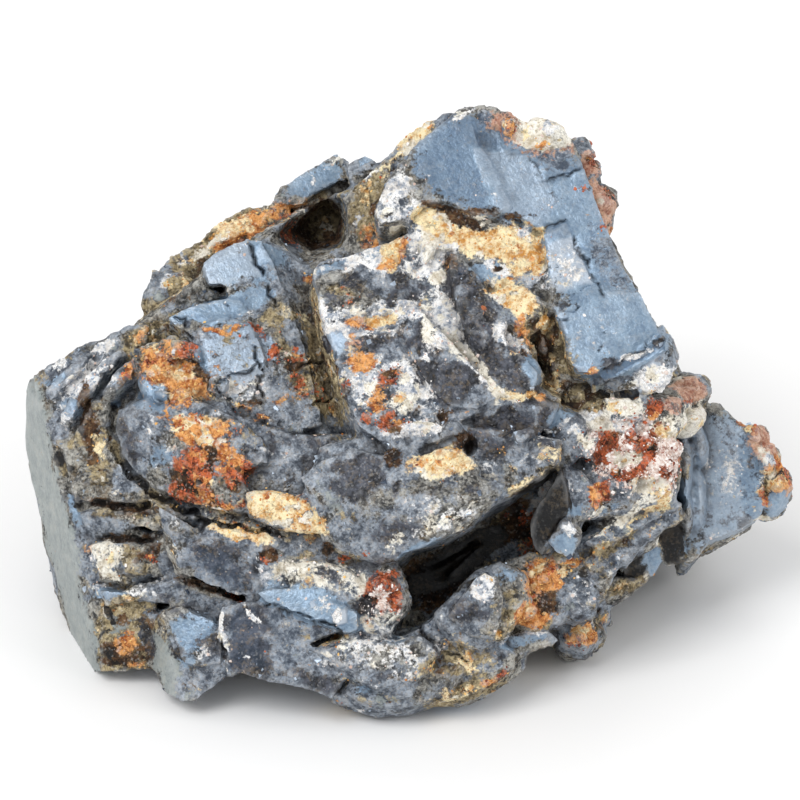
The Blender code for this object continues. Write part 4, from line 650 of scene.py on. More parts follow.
        (628, 474, 20, 8, 0, 0.75), (600, 495, 15, 13, 0, 0.9), (668, 474, 9, 8, 0, 0.7),
        (622, 432, 12, 5, 0, 0.6),
    )),
    (M.CREAM, (
        (598, 424, 15, 9, 0, 0.9), (628, 458, 14, 7, 0, 0.8), (662, 432, 12, 6, 0, 0.7),
        (585, 440, 7, 7, 0, 0.7), (640, 484, 14, 6, 0, 0.7),
    )),
    (M.ROSE, ((690, 390, 22, 17, 0, 1), (672, 402, 15, 14, 0, 0.7))),
    (M.RUST, ((690, 401, 11, 5, 0, 0.6),)),
    (M.ORANGE, ((597, 502, 11, 8, 0, 0.5),)),
    # the banded shoulder
    (M.SLATE, ((640, 526, 54, 20, 33, 0.95), (580, 596, 19, 29, 0, 1))),
    (M.FROST, ((610, 511, 26, 5, 30, 0.5), (582, 592, 14, 23, 0, 0.45))),
    (M.STEEL, ((575, 511, 15, 8, 0, 0.6), (612, 506, 16, 5, 30, 0.6))),
    (M.CREAM, (
        (650, 488, 20, 9, 10, 0.8), (640, 506, 38, 5, 30, 0.8), (614, 526, 34, 3, 32, 0.7),
        (596, 512, 20, 4, 30, 0.6),
    )),
    (M.SLATE, ((626, 534, 40, 5, 32, 0.6), (600, 520, 22, 4, 30, 0.5))),
    (M.OCHRE, (
        (640, 516, 26, 4, 25, 0.8), (665, 500, 12, 8, 90, 1), (592, 555, 22, 5, 30, 0.6),
        (655, 526, 12, 4, 30, 0.6),
    )),
    (M.OLIVE, ((612, 545, 34, 8, 30, 0.75),)),
    (M.ORANGE, ((575, 561, 11, 3, 20, 0.9),)),
    (M.CHARCOAL, ((576, 618, 15, 5, 0, 0.6),)),
    # steps painted near black with shade, and tan foot below it
    (M.CHARCOAL, ((636, 562, 26, 17, 0, 1),)),
    # near-black painted shade on the steps
    (M.SHADE_BLACK, ((638, 560, 22, 15, 0, 1), (673, 541, 28, 14, -75, 1))),
    (M.STEEL, ((651, 560, 20, 4, -75, 0.9),)),
    (M.OLIVE, ((630, 582, 28, 8, 20, 1), (604, 600, 14, 9, 80, 0.8))),
    (M.OCHRE, ((625, 585, 18, 5, 20, 0.55),)),
    # far right crystal, its beige bevel and its tip
    (M.STEEL, ((722, 482, 56, 80, -10, 1),)),
    (M.SLATE, ((722, 482, 50, 70, -10, 0.34),)),
    (M.FROST, ((722, 462, 26, 34, -20, 0.45), (738, 498, 16, 18, 0, 0.25))),
    (M.SLATE, ((690, 520, 14, 40, 0, 0.4),)),
    (M.CREAM, ((694, 420, 28, 17, 42, 1), (684, 428, 16, 14, 50, 1), (704, 412, 16, 12, 42, 1))),
    (M.CHARCOAL, ((741, 525, 7, 6, 0, 0.8), (752, 470, 26, 4, -85, 0.45))),
    (M.CREAM, ((751, 505, 6, 4, 90, 0.5),)),
    (M.FROST, ((714, 540, 7, 6, 0, 0.4),)),
    (M.ROSE, ((766, 446, 28, 18, -55, 1), (785, 485, 26, 14, -60, 1))),
    (M.ORANGE, ((746, 428, 13, 6, -15, 0.85), (774, 486, 20, 13, 90, 0.6))),
    (M.CREAM, ((764, 452, 12, 8, -55, 0.5),)),
    (M.ORANGE, ((772, 492, 14, 16, 0, 0.9), (780, 470, 16, 9, -60, 0.7))),
    (M.OCHRE, ((770, 484, 12, 13, 0, 0.6),)),
    (M.RUST, ((786, 470, 20, 8, -55, 0.9), (766, 496, 11, 7, 90, 0.7))),
    (M.FROST, ((770, 460, 10, 6, -60, 0.5),)),
    (M.STEEL, ((784, 502, 14, 12, 40, 1),)),
    (M.CREAM, ((763, 518, 15, 6, 0, 1),)),
    (M.SLATE, ((745, 521, 9, 6, 0, 0.6),)),
    # the stained knob underneath
    (M.SLATE, ((580, 640, 34, 24, 0, 0.8),)),
    (M.ORANGE, ((584, 635, 17, 13, 0, 1), (606, 616, 9, 5, 80, 0.8))),
    (M.RUST, ((580, 642, 15, 8, 0, 0.6),)),
    (M.OCHRE, ((595, 621, 9, 5, 0, 0.5),)),
    (M.CHARCOAL, ((592, 657, 26, 6, 10, 0.9), (556, 646, 12, 7, 70, 0.8))),
    # centre block
    (M.FROST, ((400, 340, 94, 86, 0, 0.85),)),
    (M.SLATE, ((400, 340, 90, 82, 0, 0.3),)),
    (M.OLIVE, ((326, 348, 84, 12, -73, 1),)),
    (M.OCHRE, ((321, 328, 60, 6, -73, 0.45),)),
    (M.ORANGE, ((309, 279, 7, 5, 0, 0.6),)),
    (M.FROST, ((338, 265, 30, 9, 15, 1), (378, 257, 18, 16, 0, 0.9), (330, 318, 34, 13, -75, 0.7))),
    (M.STEEL, ((330, 268, 16, 6, 15, 0.6), (376, 252, 12, 8, 20, 0.5), (338, 345, 14, 9, -62, 1))),
    (M.MATRIX, ((350, 288, 36, 20, 0, 0.75),)),
    (M.CHARCOAL, (
        (352, 280, 20, 9, 10, 0.6), (334, 298, 12, 8, 0, 0.5), (370, 292, 14, 9, 0, 0.5),
        (333, 322, 6, 4, 0, 0.6),
    )),
    (M.OLIVE, ((346, 292, 12, 12, 0, 0.45),)),
    (M.RUST, ((350, 298, 9, 8, 0, 0.5), (340, 286, 5, 4, 0, 0.6))),
    (M.CHARCOAL, ((401, 286, 20, 13, 0, 0.85), (391, 303, 7, 19, 0, 0.95), (424, 283, 11, 8, 0, 0.5))),
    (M.ORANGE, ((364, 323, 24, 8, 0, 0.9), (346, 302, 8, 5, 0, 0.4))),
    (M.OCHRE, ((380, 318, 16, 9, 0, 0.9),)),
    (M.FROST, (
        (365, 313, 20, 2, -5, 0.7), (372, 334, 24, 4, 0, 0.6), (408, 306, 14, 9, 0, 0.95),
        (425, 311, 24, 11, 0, 1),
    )),
    (M.CHARCOAL, ((378, 344, 25, 11, 0, 0.85), (411, 336, 14, 22, 0, 0.95))),
    (M.SLATE, ((396, 353, 24, 9, 0, 0.6), (412, 330, 8, 10, 0, 0.5))),
    (M.ROSE, ((352, 346, 7, 16, -80, 0.5), (362, 362, 17, 10, 0, 0.6))),
    (M.ORANGE, ((360, 360, 16, 13, -20, 0.7), (352, 340, 6, 12, 0, 0.5))),
    (M.FROST, ((369, 384, 17, 13, 0, 1), (414, 384, 20, 18, 0, 0.7), (398, 366, 14, 7, 0, 0.5))),
    (M.CREAM, ((366, 380, 10, 8, 0, 0.6), (404, 403, 18, 13, 0, 0.85))),
    (M.RUST, (
        (387, 376, 14, 10, 25, 1), (364, 419, 9, 8, 0, 0.85), (389, 420, 15, 10, 0, 0.85),
        (346, 386, 5, 9, 0, 0.7),
    )),
    (M.ORANGE, ((379, 400, 12, 17, 0, 0.9), (398, 397, 9, 6, 0, 0.4), (410, 410, 8, 5, 0, 0.4))),
    (M.UMBER_STAIN_AND_SHADE, (
        (387, 374, 7, 5, 0, 0.9), (346, 392, 9, 5, -60, 0.6), (393, 427, 8, 5, 0, 0.6),
        (380, 412, 4, 3, 0, 0.7),
    )),
    (M.FROST, ((447, 314, 20, 14, -40, 1), (438, 334, 18, 13, -50, 0.95), (458, 340, 24, 12, -50, 1))),
    (M.CREAM, ((452, 308, 14, 9, -40, 0.5), (470, 360, 34, 12, -52, 1))),
    (M.FROST, ((478, 374, 24, 6, -50, 0.8), (462, 344, 12, 5, -50, 0.5))),
    (M.CHARCOAL, ((452, 385, 33, 19, -16, 0.9), (424, 368, 16, 12, 0, 0.6), (436, 352, 10, 7, 0, 0.5))),
    (M.SLATE, ((462, 392, 28, 13, -22, 0.8),)),
    (M.FROST, ((433, 396, 14, 10, 0, 0.45), (426, 356, 5, 4, 0, 0.8))),
    (M.STEEL, ((471, 396, 15, 8, 0, 0.3),)),
    (M.CREAM, ((492, 388, 19, 5, -62, 1),)),
    (M.CREAM, ((430, 250, 24, 34, -10, 1),)),
    (M.FROST, ((428, 262, 20, 18, 0, 0.6), (412, 236, 12, 10, 0, 0.6), (446, 240, 14, 10, 0, 0.5))),
    (M.CREAM, ((441, 281, 14, 11, 0, 0.95),)),
    (M.SLATE, ((418, 262, 6, 10, 0, 0.4), (436, 226, 8, 5, 0, 0.4))),
    (M.OCHRE, ((394, 254, 13, 22, 0, 1), (397, 232, 10, 16, 0, 0.9), (428, 214, 20, 10, 0, 0.8))),
    (M.ORANGE, ((389, 265, 10, 8, 0, 0.9), (403, 250, 12, 6, 90, 0.8), (380, 226, 6, 8, 0, 0.5))),
    (M.OCHRE, ((468, 236, 44, 20, -18, 0.95), (514, 250, 34, 34, -20, 0.85))),
    (M.CREAM, (
        (440, 222, 22, 9, 0, 0.7), (472, 220, 22, 8, 0, 0.6), (488, 244, 20, 7, -25, 0.6),
        (524, 238, 16, 7, -20, 0.6),
    )),
    (M.FROST, (
        (455, 248, 12, 8, 0, 0.6), (494, 272, 20, 13, 0, 1), (515, 234, 18, 7, 0, 0.6),
        (541, 280, 20, 10, -60, 0.6), (536, 262, 10, 12, 0, 0.5),
    )),
    (M.STEEL, (
        (484, 278, 20, 8, -25, 0.9), (521, 258, 12, 7, 0, 0.6), (533, 254, 12, 7, 90, 0.5),
        (500, 264, 6, 4, 0, 0.5),
    )),
    (M.CHARCOAL, ((468, 292, 38, 20, -62, 1), (484, 334, 32, 20, -70, 1), (510, 366, 36, 20, -45, 1))),
    (M.SLATE, ((466, 300, 16, 10, -50, 0.5), (502, 352, 20, 8, -50, 0.4), (511, 312, 13, 7, -30, 0.7))),
    (M.RUST, ((482, 310, 4, 4, 0, 0.6), (486, 326, 12, 2, -60, 0.5))),
    (M.OCHRE, ((516, 298, 34, 14, -25, 1), (540, 238, 8, 26, 0, 0.6))),
    (M.CREAM, ((508, 296, 16, 6, -20, 0.6), (530, 306, 12, 6, -40, 0.5))),
    (M.OLIVE, ((498, 250, 24, 3, -75, 0.6),)),
    # the third mark is a painted shadow line under the slab
    (M.UMBER_STAIN_AND_SHADE, (
        (497, 270, 7, 5, 0, 0.85), (450, 262, 8, 13, 0, 0.85), (478, 211, 26, 4, -5, 0.75),
        (462, 232, 12, 6, -55, 0.7),
    )),
    (M.ORANGE, ((513, 280, 5, 4, 0, 1), (446, 268, 5, 6, 0, 0.6))),
    (M.FROST, ((505, 338, 20, 10, -42, 1), (518, 350, 10, 8, 0, 0.7))),
    (M.OCHRE, ((528, 320, 18, 10, -40, 0.85), (514, 352, 9, 7, 0, 0.6))),
    (M.ORANGE, ((526, 337, 22, 9, -65, 0.9),)),
    # painted shade along the left edge of the olive slope
    (M.UMBER_STAIN_AND_SHADE, ((533, 330, 16, 3, -60, 0.7), (522, 356, 8, 4, -60, 0.6))),
    (M.STEEL, ((533, 370, 18, 9, -75, 1),)),
    (M.OCHRE, ((516, 395, 24, 7, -8, 0.95),)),
    (M.CREAM, ((508, 394, 12, 4, -8, 0.5),)),
    # the olive slope between the centre block and the upper crystal
    (M.OLIVE, ((556, 362, 56, 26, -75, 1), (578, 396, 34, 14, -20, 1))),
    # the first two marks are painted shadow at the top left of the olive slope
    (M.UMBER_STAIN_AND_SHADE, ((543, 350, 30, 7, -78, 0.7), (541, 326, 10, 6, 0, 0.6), (572, 408, 14, 7, 0, 0.6))),
    (M.OCHRE, ((560, 386, 18, 12, -60, 0.6), (566, 350, 22, 7, -75, 0.5))),
    (M.ORANGE, ((542, 398, 9, 7, 0, 0.7), (553, 340, 10, 5, -70, 0.5))),
    (M.MATRIX, ((574, 384, 16, 12, 0, 0.6),)),
    # smooth crystals on the left, over all that lies round them
    (M.STEEL, ((244, 264, 46, 20, 4, 1), (268, 262, 26, 20, -40, 1), (226, 306, 52, 12, 15, 1))),
    (M.STEEL, ((236, 350, 36, 28, 5, 1),)),
    (M.SLATE, ((284, 284, 18, 26, 30, 0.7), (236, 354, 30, 22, 5, 0.36))),
    (M.OLIVE, ((236, 350, 32, 22, 5, 0.4),)),
    (M.FROST, ((243, 388, 26, 12, 8, 0.65),)),
    (M.SLATE, ((296, 338, 13, 42, 10, 0.8),)),
    (M.RUST, ((273, 352, 6, 26, 14, 0.75), (294, 354, 5, 24, 14, 0.6), (236, 327, 34, 4, 4, 0.75))),
    (M.ORANGE, ((222, 328, 22, 6, 0, 0.7), (212, 356, 8, 16, 0, 0.4))),
    (M.OLIVE, ((306, 318, 6, 32, 14, 0.6),)),
    (M.STEEL, ((150, 402, 18, 16, -20, 0.7),)),
    (M.CHARCOAL, (
        (228, 562, 34, 24, -20, 0.6), (455, 385, 20, 22, -50, 0.8), (460, 610, 20, 18, 0, 0.7),
        (326, 345, 8, 22, 10, 0.8),
    )),
    # yellow crust under the upper crystal
    (M.OCHRE, (
        (450, 224, 32, 14, -20, 1), (500, 244, 36, 15, -20, 1), (470, 242, 28, 13, -30, 1),
        (536, 262, 11, 20, 0, 1), (512, 297, 26, 13, -25, 1), (546, 326, 7, 18, -10, 1),
        (288, 512, 42, 19, -20, 1), (242, 531, 32, 9, -15, 1),
    )),
    # a painted shadow line under the upper crystal
    (M.UMBER_STAIN_AND_SHADE, ((440, 208, 22, 6, -25, 1), (468, 222, 20, 6, -20, 1), (518, 217, 24, 4, 5, 0.5))),
    (M.CREAM, (
        (396, 232, 14, 9, 20, 0.9), (430, 330, 10, 26, 10, 0.5), (216, 514, 30, 9, -20, 0.5),
        (402, 628, 22, 12, 0, 0.5),
    )),
    (M.CHARCOAL, (
        (334, 576, 16, 8, -20, 0.6), (368, 604, 12, 12, 0, 0.6), (176, 600, 22, 12, 0, 0.6),
        (384, 390, 10, 16, 0, 0.4), (515, 412, 22, 12, 0, 0.7), (305, 262, 8, 16, 0, 0.5),
    )),
    # pale rims of the black crystal, painted shade on its face and the steps beside it, and painted light on
    # the far right crystal's shaded left edge
    (M.SHADE_BLACK, ((554, 508, 12, 32, -25, 1), (670, 541, 15, 20, -10, 1), (632, 565, 16, 13, 30, 1))),
    (M.FROST, ((547, 488, 24, 4, 58, 0.92), (573, 492, 16, 3.8, -72, 0.9))),
    # the first mark is painted light: pale steel lifts the shaded left edge of the far right crystal
    (M.STEEL, ((689, 492, 9, 62, 0, 1), (654, 557, 15, 5, -70, 1))),
)

CRACKS: tuple[Crack, ...] = tuple(
    Crack(placed(x0, y0), placed(x1, y1), round(width * STEP / 2, 2), depth)
    for x0, y0, x1, y1, width, depth in (
        (541, 231, 566, 218, 3, 0.25), (545, 181, 583, 169, 3, 0.2), (528, 152, 545, 182, 2.5, 0.15),
        (572, 237, 588, 265, 4, 0.35), (588, 265, 604, 297, 3, 0.25), (545, 302, 600, 283, 1.5, 0.12),
        (549, 304, 557, 302, 1.5, 0.2), (566, 312, 580, 306, 1.5, 0.2), (557, 321, 568, 318, 2, 0.2),
        (602, 335, 607, 332, 2, 0.2), (596, 352, 604, 347, 2, 0.2), (536, 266, 542, 264, 1.5, 0.2),
        (600, 372, 668, 335, 2.5, 0.2), (247, 243, 263, 275, 3, 0.45), (267, 285, 276, 307, 3, 0.4),
        (175, 317, 184, 317, 2.5, 0.35), (184, 317, 190, 340, 2.5, 0.35), (252, 345, 262, 372, 2.5, 0.35),
        (215, 384, 261, 366, 3, 0.35), (257, 375, 262, 398, 3, 0.4), (297, 367, 322, 360, 3, 0.4),
        (312, 405, 332, 397, 3, 0.35), (225, 300, 232, 325, 1.5, 0.15), (215, 385, 240, 415, 2.5, 0.3),
        (240, 415, 265, 425, 2.5, 0.25), (108, 440, 130, 480, 3, 0.3), (128, 470, 150, 492, 4, 0.4),
        (150, 492, 210, 522, 5, 0.5), (210, 522, 285, 535, 4, 0.45), (90, 503, 150, 508, 4, 0.35),
        (95, 537, 160, 540, 4, 0.35), (190, 582, 245, 600, 4, 0.4), (262, 602, 345, 630, 3, 0.3),
        (415, 625, 445, 650, 3, 0.35), (445, 650, 470, 662, 2.5, 0.3), (330, 345, 345, 385, 2, 0.2),
    )
)

# each pane's shade is painted reflection and shade on the cleavage faces
PANES: tuple[Pane, ...] = (
    Pane(0.0, -0.75, (
        (443, 125), (470, 145), (490, 205), (493, 222), (477, 218), (452, 205), (412, 192), (408, 162),
        (433, 132),
    )),
    Pane(0.0, -0.9, ((443, 112), (490, 112), (500, 150), (470, 145), (445, 124))),
    Pane(0.03, 0.3, ((470, 147), (527, 152), (547, 182), (557, 205), (540, 225), (497, 210), (487, 195))),
    Pane(-0.04, -0.5, ((530, 153), (573, 143), (587, 168), (550, 183))),
    Pane(0.0, 0.05, ((553, 184), (587, 172), (610, 235), (577, 228), (557, 205))),
    Pane(0.05, -0.5, ((543, 229), (570, 219), (573, 235), (547, 242))),
    Pane(0.04, 0.75, ((547, 243), (573, 236), (593, 283), (553, 293))),
    Pane(-0.05, -0.3, ((575, 233), (610, 238), (643, 302), (603, 292))),
    Pane(0.03, 0.1, ((550, 296), (643, 286), (664, 335), (600, 362), (593, 372), (570, 368))),
    Pane(0.0, -0.4, ((550, 296), (600, 290), (603, 300), (552, 308))),
    Pane(-0.2, -0.9, ((590, 376), (664, 340), (664, 349), (594, 387))),
    Pane(-0.25, 0.9, ((634, 373), (667, 350), (676, 372), (654, 397), (633, 397))),
    Pane(-0.2, -0.3, ((600, 386), (640, 372), (636, 396), (596, 398))),
    Pane(0.08, -0.1, ((163, 318), (186, 316), (262, 298), (275, 330), (205, 345))),
    Pane(-0.06, 0.4, ((196, 336), (262, 325), (280, 362), (214, 384))),
    Pane(0.08, 0.7, ((215, 385), (262, 366), (280, 400), (240, 413))),
    Pane(0.06, 0.35, ((190, 240), (247, 236), (263, 276), (205, 292))),
    Pane(-0.06, -0.15, ((250, 240), (284, 250), (300, 300), (268, 290))),
    Pane(-0.2, 0.3, ((365, 312), (392, 310), (394, 328), (352, 334))),
    Pane(0.2, 0.3, ((325, 330), (345, 328), (352, 356), (336, 356))),
    Pane(0.25, 1.0, ((334, 612), (346, 608), (348, 622), (336, 626))),
    Pane(0.0, -0.6, ((186, 545), (226, 552), (250, 590), (190, 580))),
    Pane(0.0, -0.6, ((230, 610), (256, 606), (262, 668), (226, 672))),
    Pane(0.0, -0.3, ((262, 604), (300, 618), (300, 676), (264, 670))),
    # painted light: the far right crystal's face is paled where it turns from the lamps, most of all on its
    # left part
    Pane(0.0, 0.4, ((684, 440), (722, 396), (756, 430), (760, 520), (690, 570))),
    Pane(0.0, -0.25, ((738, 436), (758, 440), (762, 518), (744, 520))),
    Pane(0.0, 0.35, ((686, 440), (712, 424), (714, 520), (690, 556))),
)

FILLINGS: tuple[Filling, ...] = tuple(
    Filling(*placed(across, down), *spanned(length, width), turn, out)
    for across, down, length, width, turn, out in (
        (118, 448, 32, 9, -68, 3.9), (141, 488, 24, 7, -50, 4.7), (178, 512, 34, 11, -28, 6.4),
        (222, 521, 32, 9, -14, 7.9), (258, 527, 28, 8, -14, 8.9), (100, 506, 28, 8, 0, 3.6),
        (136, 507, 28, 8, 0, 4.2), (160, 507, 16, 8, 0, 4.6), (104, 537, 30, 9, 0, 3.7),
        (138, 535, 30, 11, 0, 4.3), (158, 538, 14, 10, 0, 4.9), (324, 431, 24, 12, -10, 6.4),
        (334, 424, 14, 12, 0, 5.6), (556, 338, 34, 15, -75, 7.4), (561, 376, 34, 17, -65, 7.8),
        (578, 396, 26, 15, 0, 7.4), (594, 396, 26, 10, 0, 7.6), (545, 326, 14, 10, 0, 7.9),
        (546, 436, 12, 8, 0, 9.5), (543, 345, 22, 9, -80, 7.9), (508, 221, 20, 6, -5, 6.4),
        (543, 250, 28, 6, -85, 7.3), (546, 286, 26, 6, -80, 8.3), (549, 308, 12, 6, -80, 8.7),
        (528, 228, 12, 6, -40, 6.5), (690, 424, 20, 11, 45, 4.6), (684, 470, 36, 10, -90, 3.0),
        (686, 514, 28, 8, -90, 2.6), (698, 444, 26, 11, -82, 1.6), (697, 500, 40, 11, -88, 0.9),
    )
)

MOTTLES: tuple[Mottle, ...] = (
    Mottle(M.SLATE, M.PEWTER, 1.6, 0.12, 0.5),
    Mottle(M.SLATE, M.CHARCOAL, 1.7, 0.2, 0.5),
    Mottle(M.SLATE, M.FROST, 1.1, 0.1, 0.6),
    Mottle(M.SLATE, M.OLIVE, 1.5, 0.16, 0.6),
    Mottle(M.SLATE, M.ORANGE, 0.6, 0.04, 0.7),
    Mottle(M.CHARCOAL, M.SLATE, 1.2, 0.14, 0.6),
    Mottle(M.MATRIX, M.OLIVE, 2.2, 0.24, 0.7),
    Mottle(M.MATRIX, M.CREAM, 1.5, 0.08, 0.7),
    Mottle(M.MATRIX, M.SLATE, 3.0, 0.34, 0.9),
    Mottle(M.FROST, M.CREAM, 1.1, 0.22, 0.8),
    Mottle(M.FROST, M.SLATE, 0.8, 0.1, 0.6),
    Mottle(M.OLIVE, M.UMBER_STAIN_AND_SHADE, 1.0, 0.25, 0.8),
    Mottle(M.OLIVE, M.OCHRE, 0.9, 0.2, 0.8),
    Mottle(M.CREAM, M.OCHRE, 1.0, 0.16, 0.8),
    Mottle(M.OCHRE, M.CREAM, 0.9, 0.12, 0.7),
    Mottle(M.STEEL, M.FROST, 0.5, 0.05, 0.5),
    Mottle(M.OCHRE, M.ORANGE, 0.8, 0.12, 0.8),
    Mottle(M.ORANGE, M.ROSE, 0.9, 0.14, 0.7),
    Mottle(M.ORANGE, M.RUST, 0.7, 0.1, 0.8),
    Mottle(M.ORANGE, M.OCHRE, 0.8, 0.16, 0.8),
    Mottle(M.RUST, M.UMBER_STAIN_AND_SHADE, 0.7, 0.22, 0.8),
    Mottle(M.RUST, M.ORANGE, 0.6, 0.2, 0.8),
    Mottle(M.DRUSE, M.RUST, 0.8, 0.4, 0.95),
)


def points_of(mesh: bpy.types.Mesh) -> Array:
    """The mesh's vertices in millimetres, as an N x 3 array."""
    flat = np.empty(len(mesh.vertices) * 3, dtype=np.float32)
    mesh.vertices.foreach_get("co", flat)
    return flat.reshape(-1, 3).astype(np.float64) / MM


def normals_of(mesh: bpy.types.Mesh) -> Array:
    """The mesh's vertex normals, as an N x 3 array."""
    flat = np.empty(len(mesh.vertices) * 3, dtype=np.float32)
    mesh.vertex_normals.foreach_get("vector", flat)
    return flat.reshape(-1, 3).astype(np.float64)


def move_points(mesh: bpy.types.Mesh, points: Array) -> None:
    """Puts the vertices at the given points.

    Args:
        mesh: the mesh to change.
        points: an N x 3 array, in millimetres.
    """
    mesh.vertices.foreach_set("co", (points * MM).astype(np.float32).ravel())
    mesh.update()


def edges_of(mesh: bpy.types.Mesh) -> tuple[Array, Array]:
    """The first and the second vertex of every edge."""
    flat = np.empty(len(mesh.edges) * 2, dtype=np.int32)
    mesh.edges.foreach_get("vertices", flat)
    return flat[0::2], flat[1::2]


def relaxed(values: Array, edges: tuple[Array, Array], rounds: int) -> Array:
    """Averages each row with its neighbours: v = (v + mean of neighbours) / 2, several times.

    Args:
        values: an N x K array, one row a vertex.
        edges: the two ends of every edge.
        rounds: how many times.

    Returns:
        An N x K array.
    """
    first, second = edges
    count = len(values)
    links = np.maximum(np.bincount(first, minlength=count) + np.bincount(second, minlength=count), 1)
    for _ in range(rounds):
        sums = [
            np.bincount(first, values[second, k], count) + np.bincount(second, values[first, k], count)
            for k in range(values.shape[1])
        ]
        values = (values + np.stack(sums, axis=1) / links[:, None]) / 2
    return values


def set_attribute(mesh: bpy.types.Mesh, name: str, values: Array) -> None:
    """Stores a number for each vertex.

    Args:
        mesh: the mesh to change.
        name: the attribute's name.
        values: an array of N numbers.
    """
    layer = mesh.attributes.get(name) or mesh.attributes.new(name, "FLOAT", "POINT")
    layer.data.foreach_set("value", values.astype(np.float32))


@dataclass
class MineralMap:
    """Where each mineral lies: listed patches on the best side, strewn ones on the rest."""

    seed: int = 7
    rear_patches: int = 230
    depth: float = 1.2
    depth_share: float = 0.7
    warp: float = 0.35
    fade: tuple[float, float] = (0.55, 1.35)
    rows: list[tuple[Mineral, Array, float, float, float, float, float]] = field(default_factory=list)
    rear_rows: list[tuple[Mineral, Array, float, float, float, float, float]] = field(default_factory=list)
    grooves: list[tuple[Array, float, float, float, float]] = field(default_factory=list)
    panes: list[tuple[Pane, float]] = field(default_factory=list)

    def place(self, solid: bpy.types.Object) -> None:
        """Sets every mark on the solid: its out is where the line of sight meets the stone.

        Args:
            solid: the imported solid.
        """
        eye = (FOOT + OUT * DISPLAY_DISTANCE) * MM
        for mineral, spots in PAINT:
            for across, down, *spans, turn, strength in spots:
                right, up = placed(across, down)
                long, short = spanned(*spans)
                out = self.surface_out(solid, eye, right, up)
                heart = np.array((right, up, out))
                depth = self.depth + self.depth_share * long
                self.rows.append((mineral, heart, long, short, depth, math.radians(turn), strength))
        for crack in CRACKS:
            ends = np.array((crack.start, crack.end))
            middle = ends.mean(axis=0)
            along = ends[1] - ends[0]
            half = float(np.linalg.norm(along)) / 2
            out = self.surface_out(solid, eye, *middle)
            turn = math.atan2(along[1], along[0])
            self.grooves.append((np.array((*middle, out)), half, crack.width, crack.depth, turn))
        for pane in PANES:
            middle = np.mean([placed(*corner) for corner in pane.outline], axis=0)
            self.panes.append((pane, self.surface_out(solid, eye, *middle)))
        self.strew(solid)

    def surface_out(self, solid: bpy.types.Object, eye: Array, right: float, up: float) -> float:
        """How far out the stone's surface is, seen at a display place.

        Args:
            solid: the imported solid.
            eye: the viewer's place, in metres.
            right: millimetres to the right.
            up: millimetres up.

        Returns:
            The out coordinate, in millimetres.
        """
        aim = from_display(np.array(((right, up, 0.0),)))[0] * MM
        hit, spot, _, _ = solid.ray_cast(Vector(eye), Vector(aim - eye).normalized())
        if not hit:
            _, spot, _, _ = solid.closest_point_on_mesh(Vector(aim + OUT * 0.002))
        return float(to_display(np.array((spot,)) / MM)[0, 2])

    def strew(self, solid: bpy.types.Object) -> None:
        """Strews patches of crust and stain over the sides that the display view doesn't show.

        Args:
            solid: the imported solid.
        """
        chance = np.random.default_rng(self.seed)
        mesh = solid.data
        places = points_of(mesh)
        facing = normals_of(mesh) @ OUT
        hidden = np.flatnonzero((facing < 0.05) & (places[:, 2] > 0.5))
        kinds = (M.SLATE, M.STEEL, M.CHARCOAL, M.FROST, M.OLIVE, M.UMBER_STAIN_AND_SHADE, M.CREAM, M.OCHRE, M.ORANGE,
                 M.RUST, M.MATRIX, M.ROSE)
        odds = np.array((22, 14, 12, 7, 12, 6, 6, 9, 8, 6, 8, 2), dtype=float)
        picks = chance.choice(hidden, self.rear_patches)
        for pick in picks:
            kind = kinds[int(chance.choice(len(kinds), p=odds / odds.sum()))]
            size = float(chance.uniform(0.9, 4.2)) * (1.5 if kind in (M.SLATE, M.STEEL) else 1.0)
            heart = to_display(places[pick:pick + 1])[0]
            turn = float(chance.uniform(0, math.pi))
            strength = float(chance.uniform(0.7, 1))
            self.rear_rows.append((kind, heart, size, size * 0.6, size, turn, strength))

    def weights(self, points: Array, normals: Array, noise: NoiseField) -> dict[Mineral, Array]:
        """How much of each mineral is at each point, painted patch after patch.

        A patch of strength s and coverage c turns the weights w into w (1 - s c), and adds s c to its
        own mineral. c falls from 1 to 0 as the point's distance, as a share of the ellipse, passes fade.
        Strewn patches fade out where the surface turns to the display view.

        Args:
            points: an N x 3 array of millimetres.
            normals: an N x 3 array of smoothed normals.
            noise: the stone's noise.

        Returns:
            One array of N weights for each mineral; they add up to 1.
        """
        place = to_display(points)
        warp = np.column_stack([noise.rough(points, 1.1, 2, 900 + k) for k in range(3)])
        place = place + warp * self.warp
        layers = {mineral: np.zeros(len(points)) for mineral in Mineral}
        layers[M.MATRIX] += 1
        away = 1 - smooth_rise(-0.15, 0.1, normals @ OUT)
        rows = [(row, False) for row in self.rows] + [(row, True) for row in self.rear_rows]
        for (mineral, heart, long, short, depth, turn, strength), rear in rows:
            reach = (long * 1.3, long * 1.3, depth * 1.3)
            near = np.flatnonzero(np.all(np.abs(place - heart) < reach, axis=1))
            if not len(near):
                continue
            offset = place[near] - heart
            along = offset[:, 0] * math.cos(turn) + offset[:, 1] * math.sin(turn)
            across = offset[:, 1] * math.cos(turn) - offset[:, 0] * math.sin(turn)
            share = np.sqrt((along / long) ** 2 + (across / short) ** 2 + (offset[:, 2] / depth) ** 2)
            cover = strength * (1 - smooth_rise(*self.fade, share)) * (away[near] if rear else 1)
            for layer in layers.values():
                layer[near] *= 1 - cover
            layers[mineral][near] += cover
        self.mottle(layers, points, noise)
        return layers

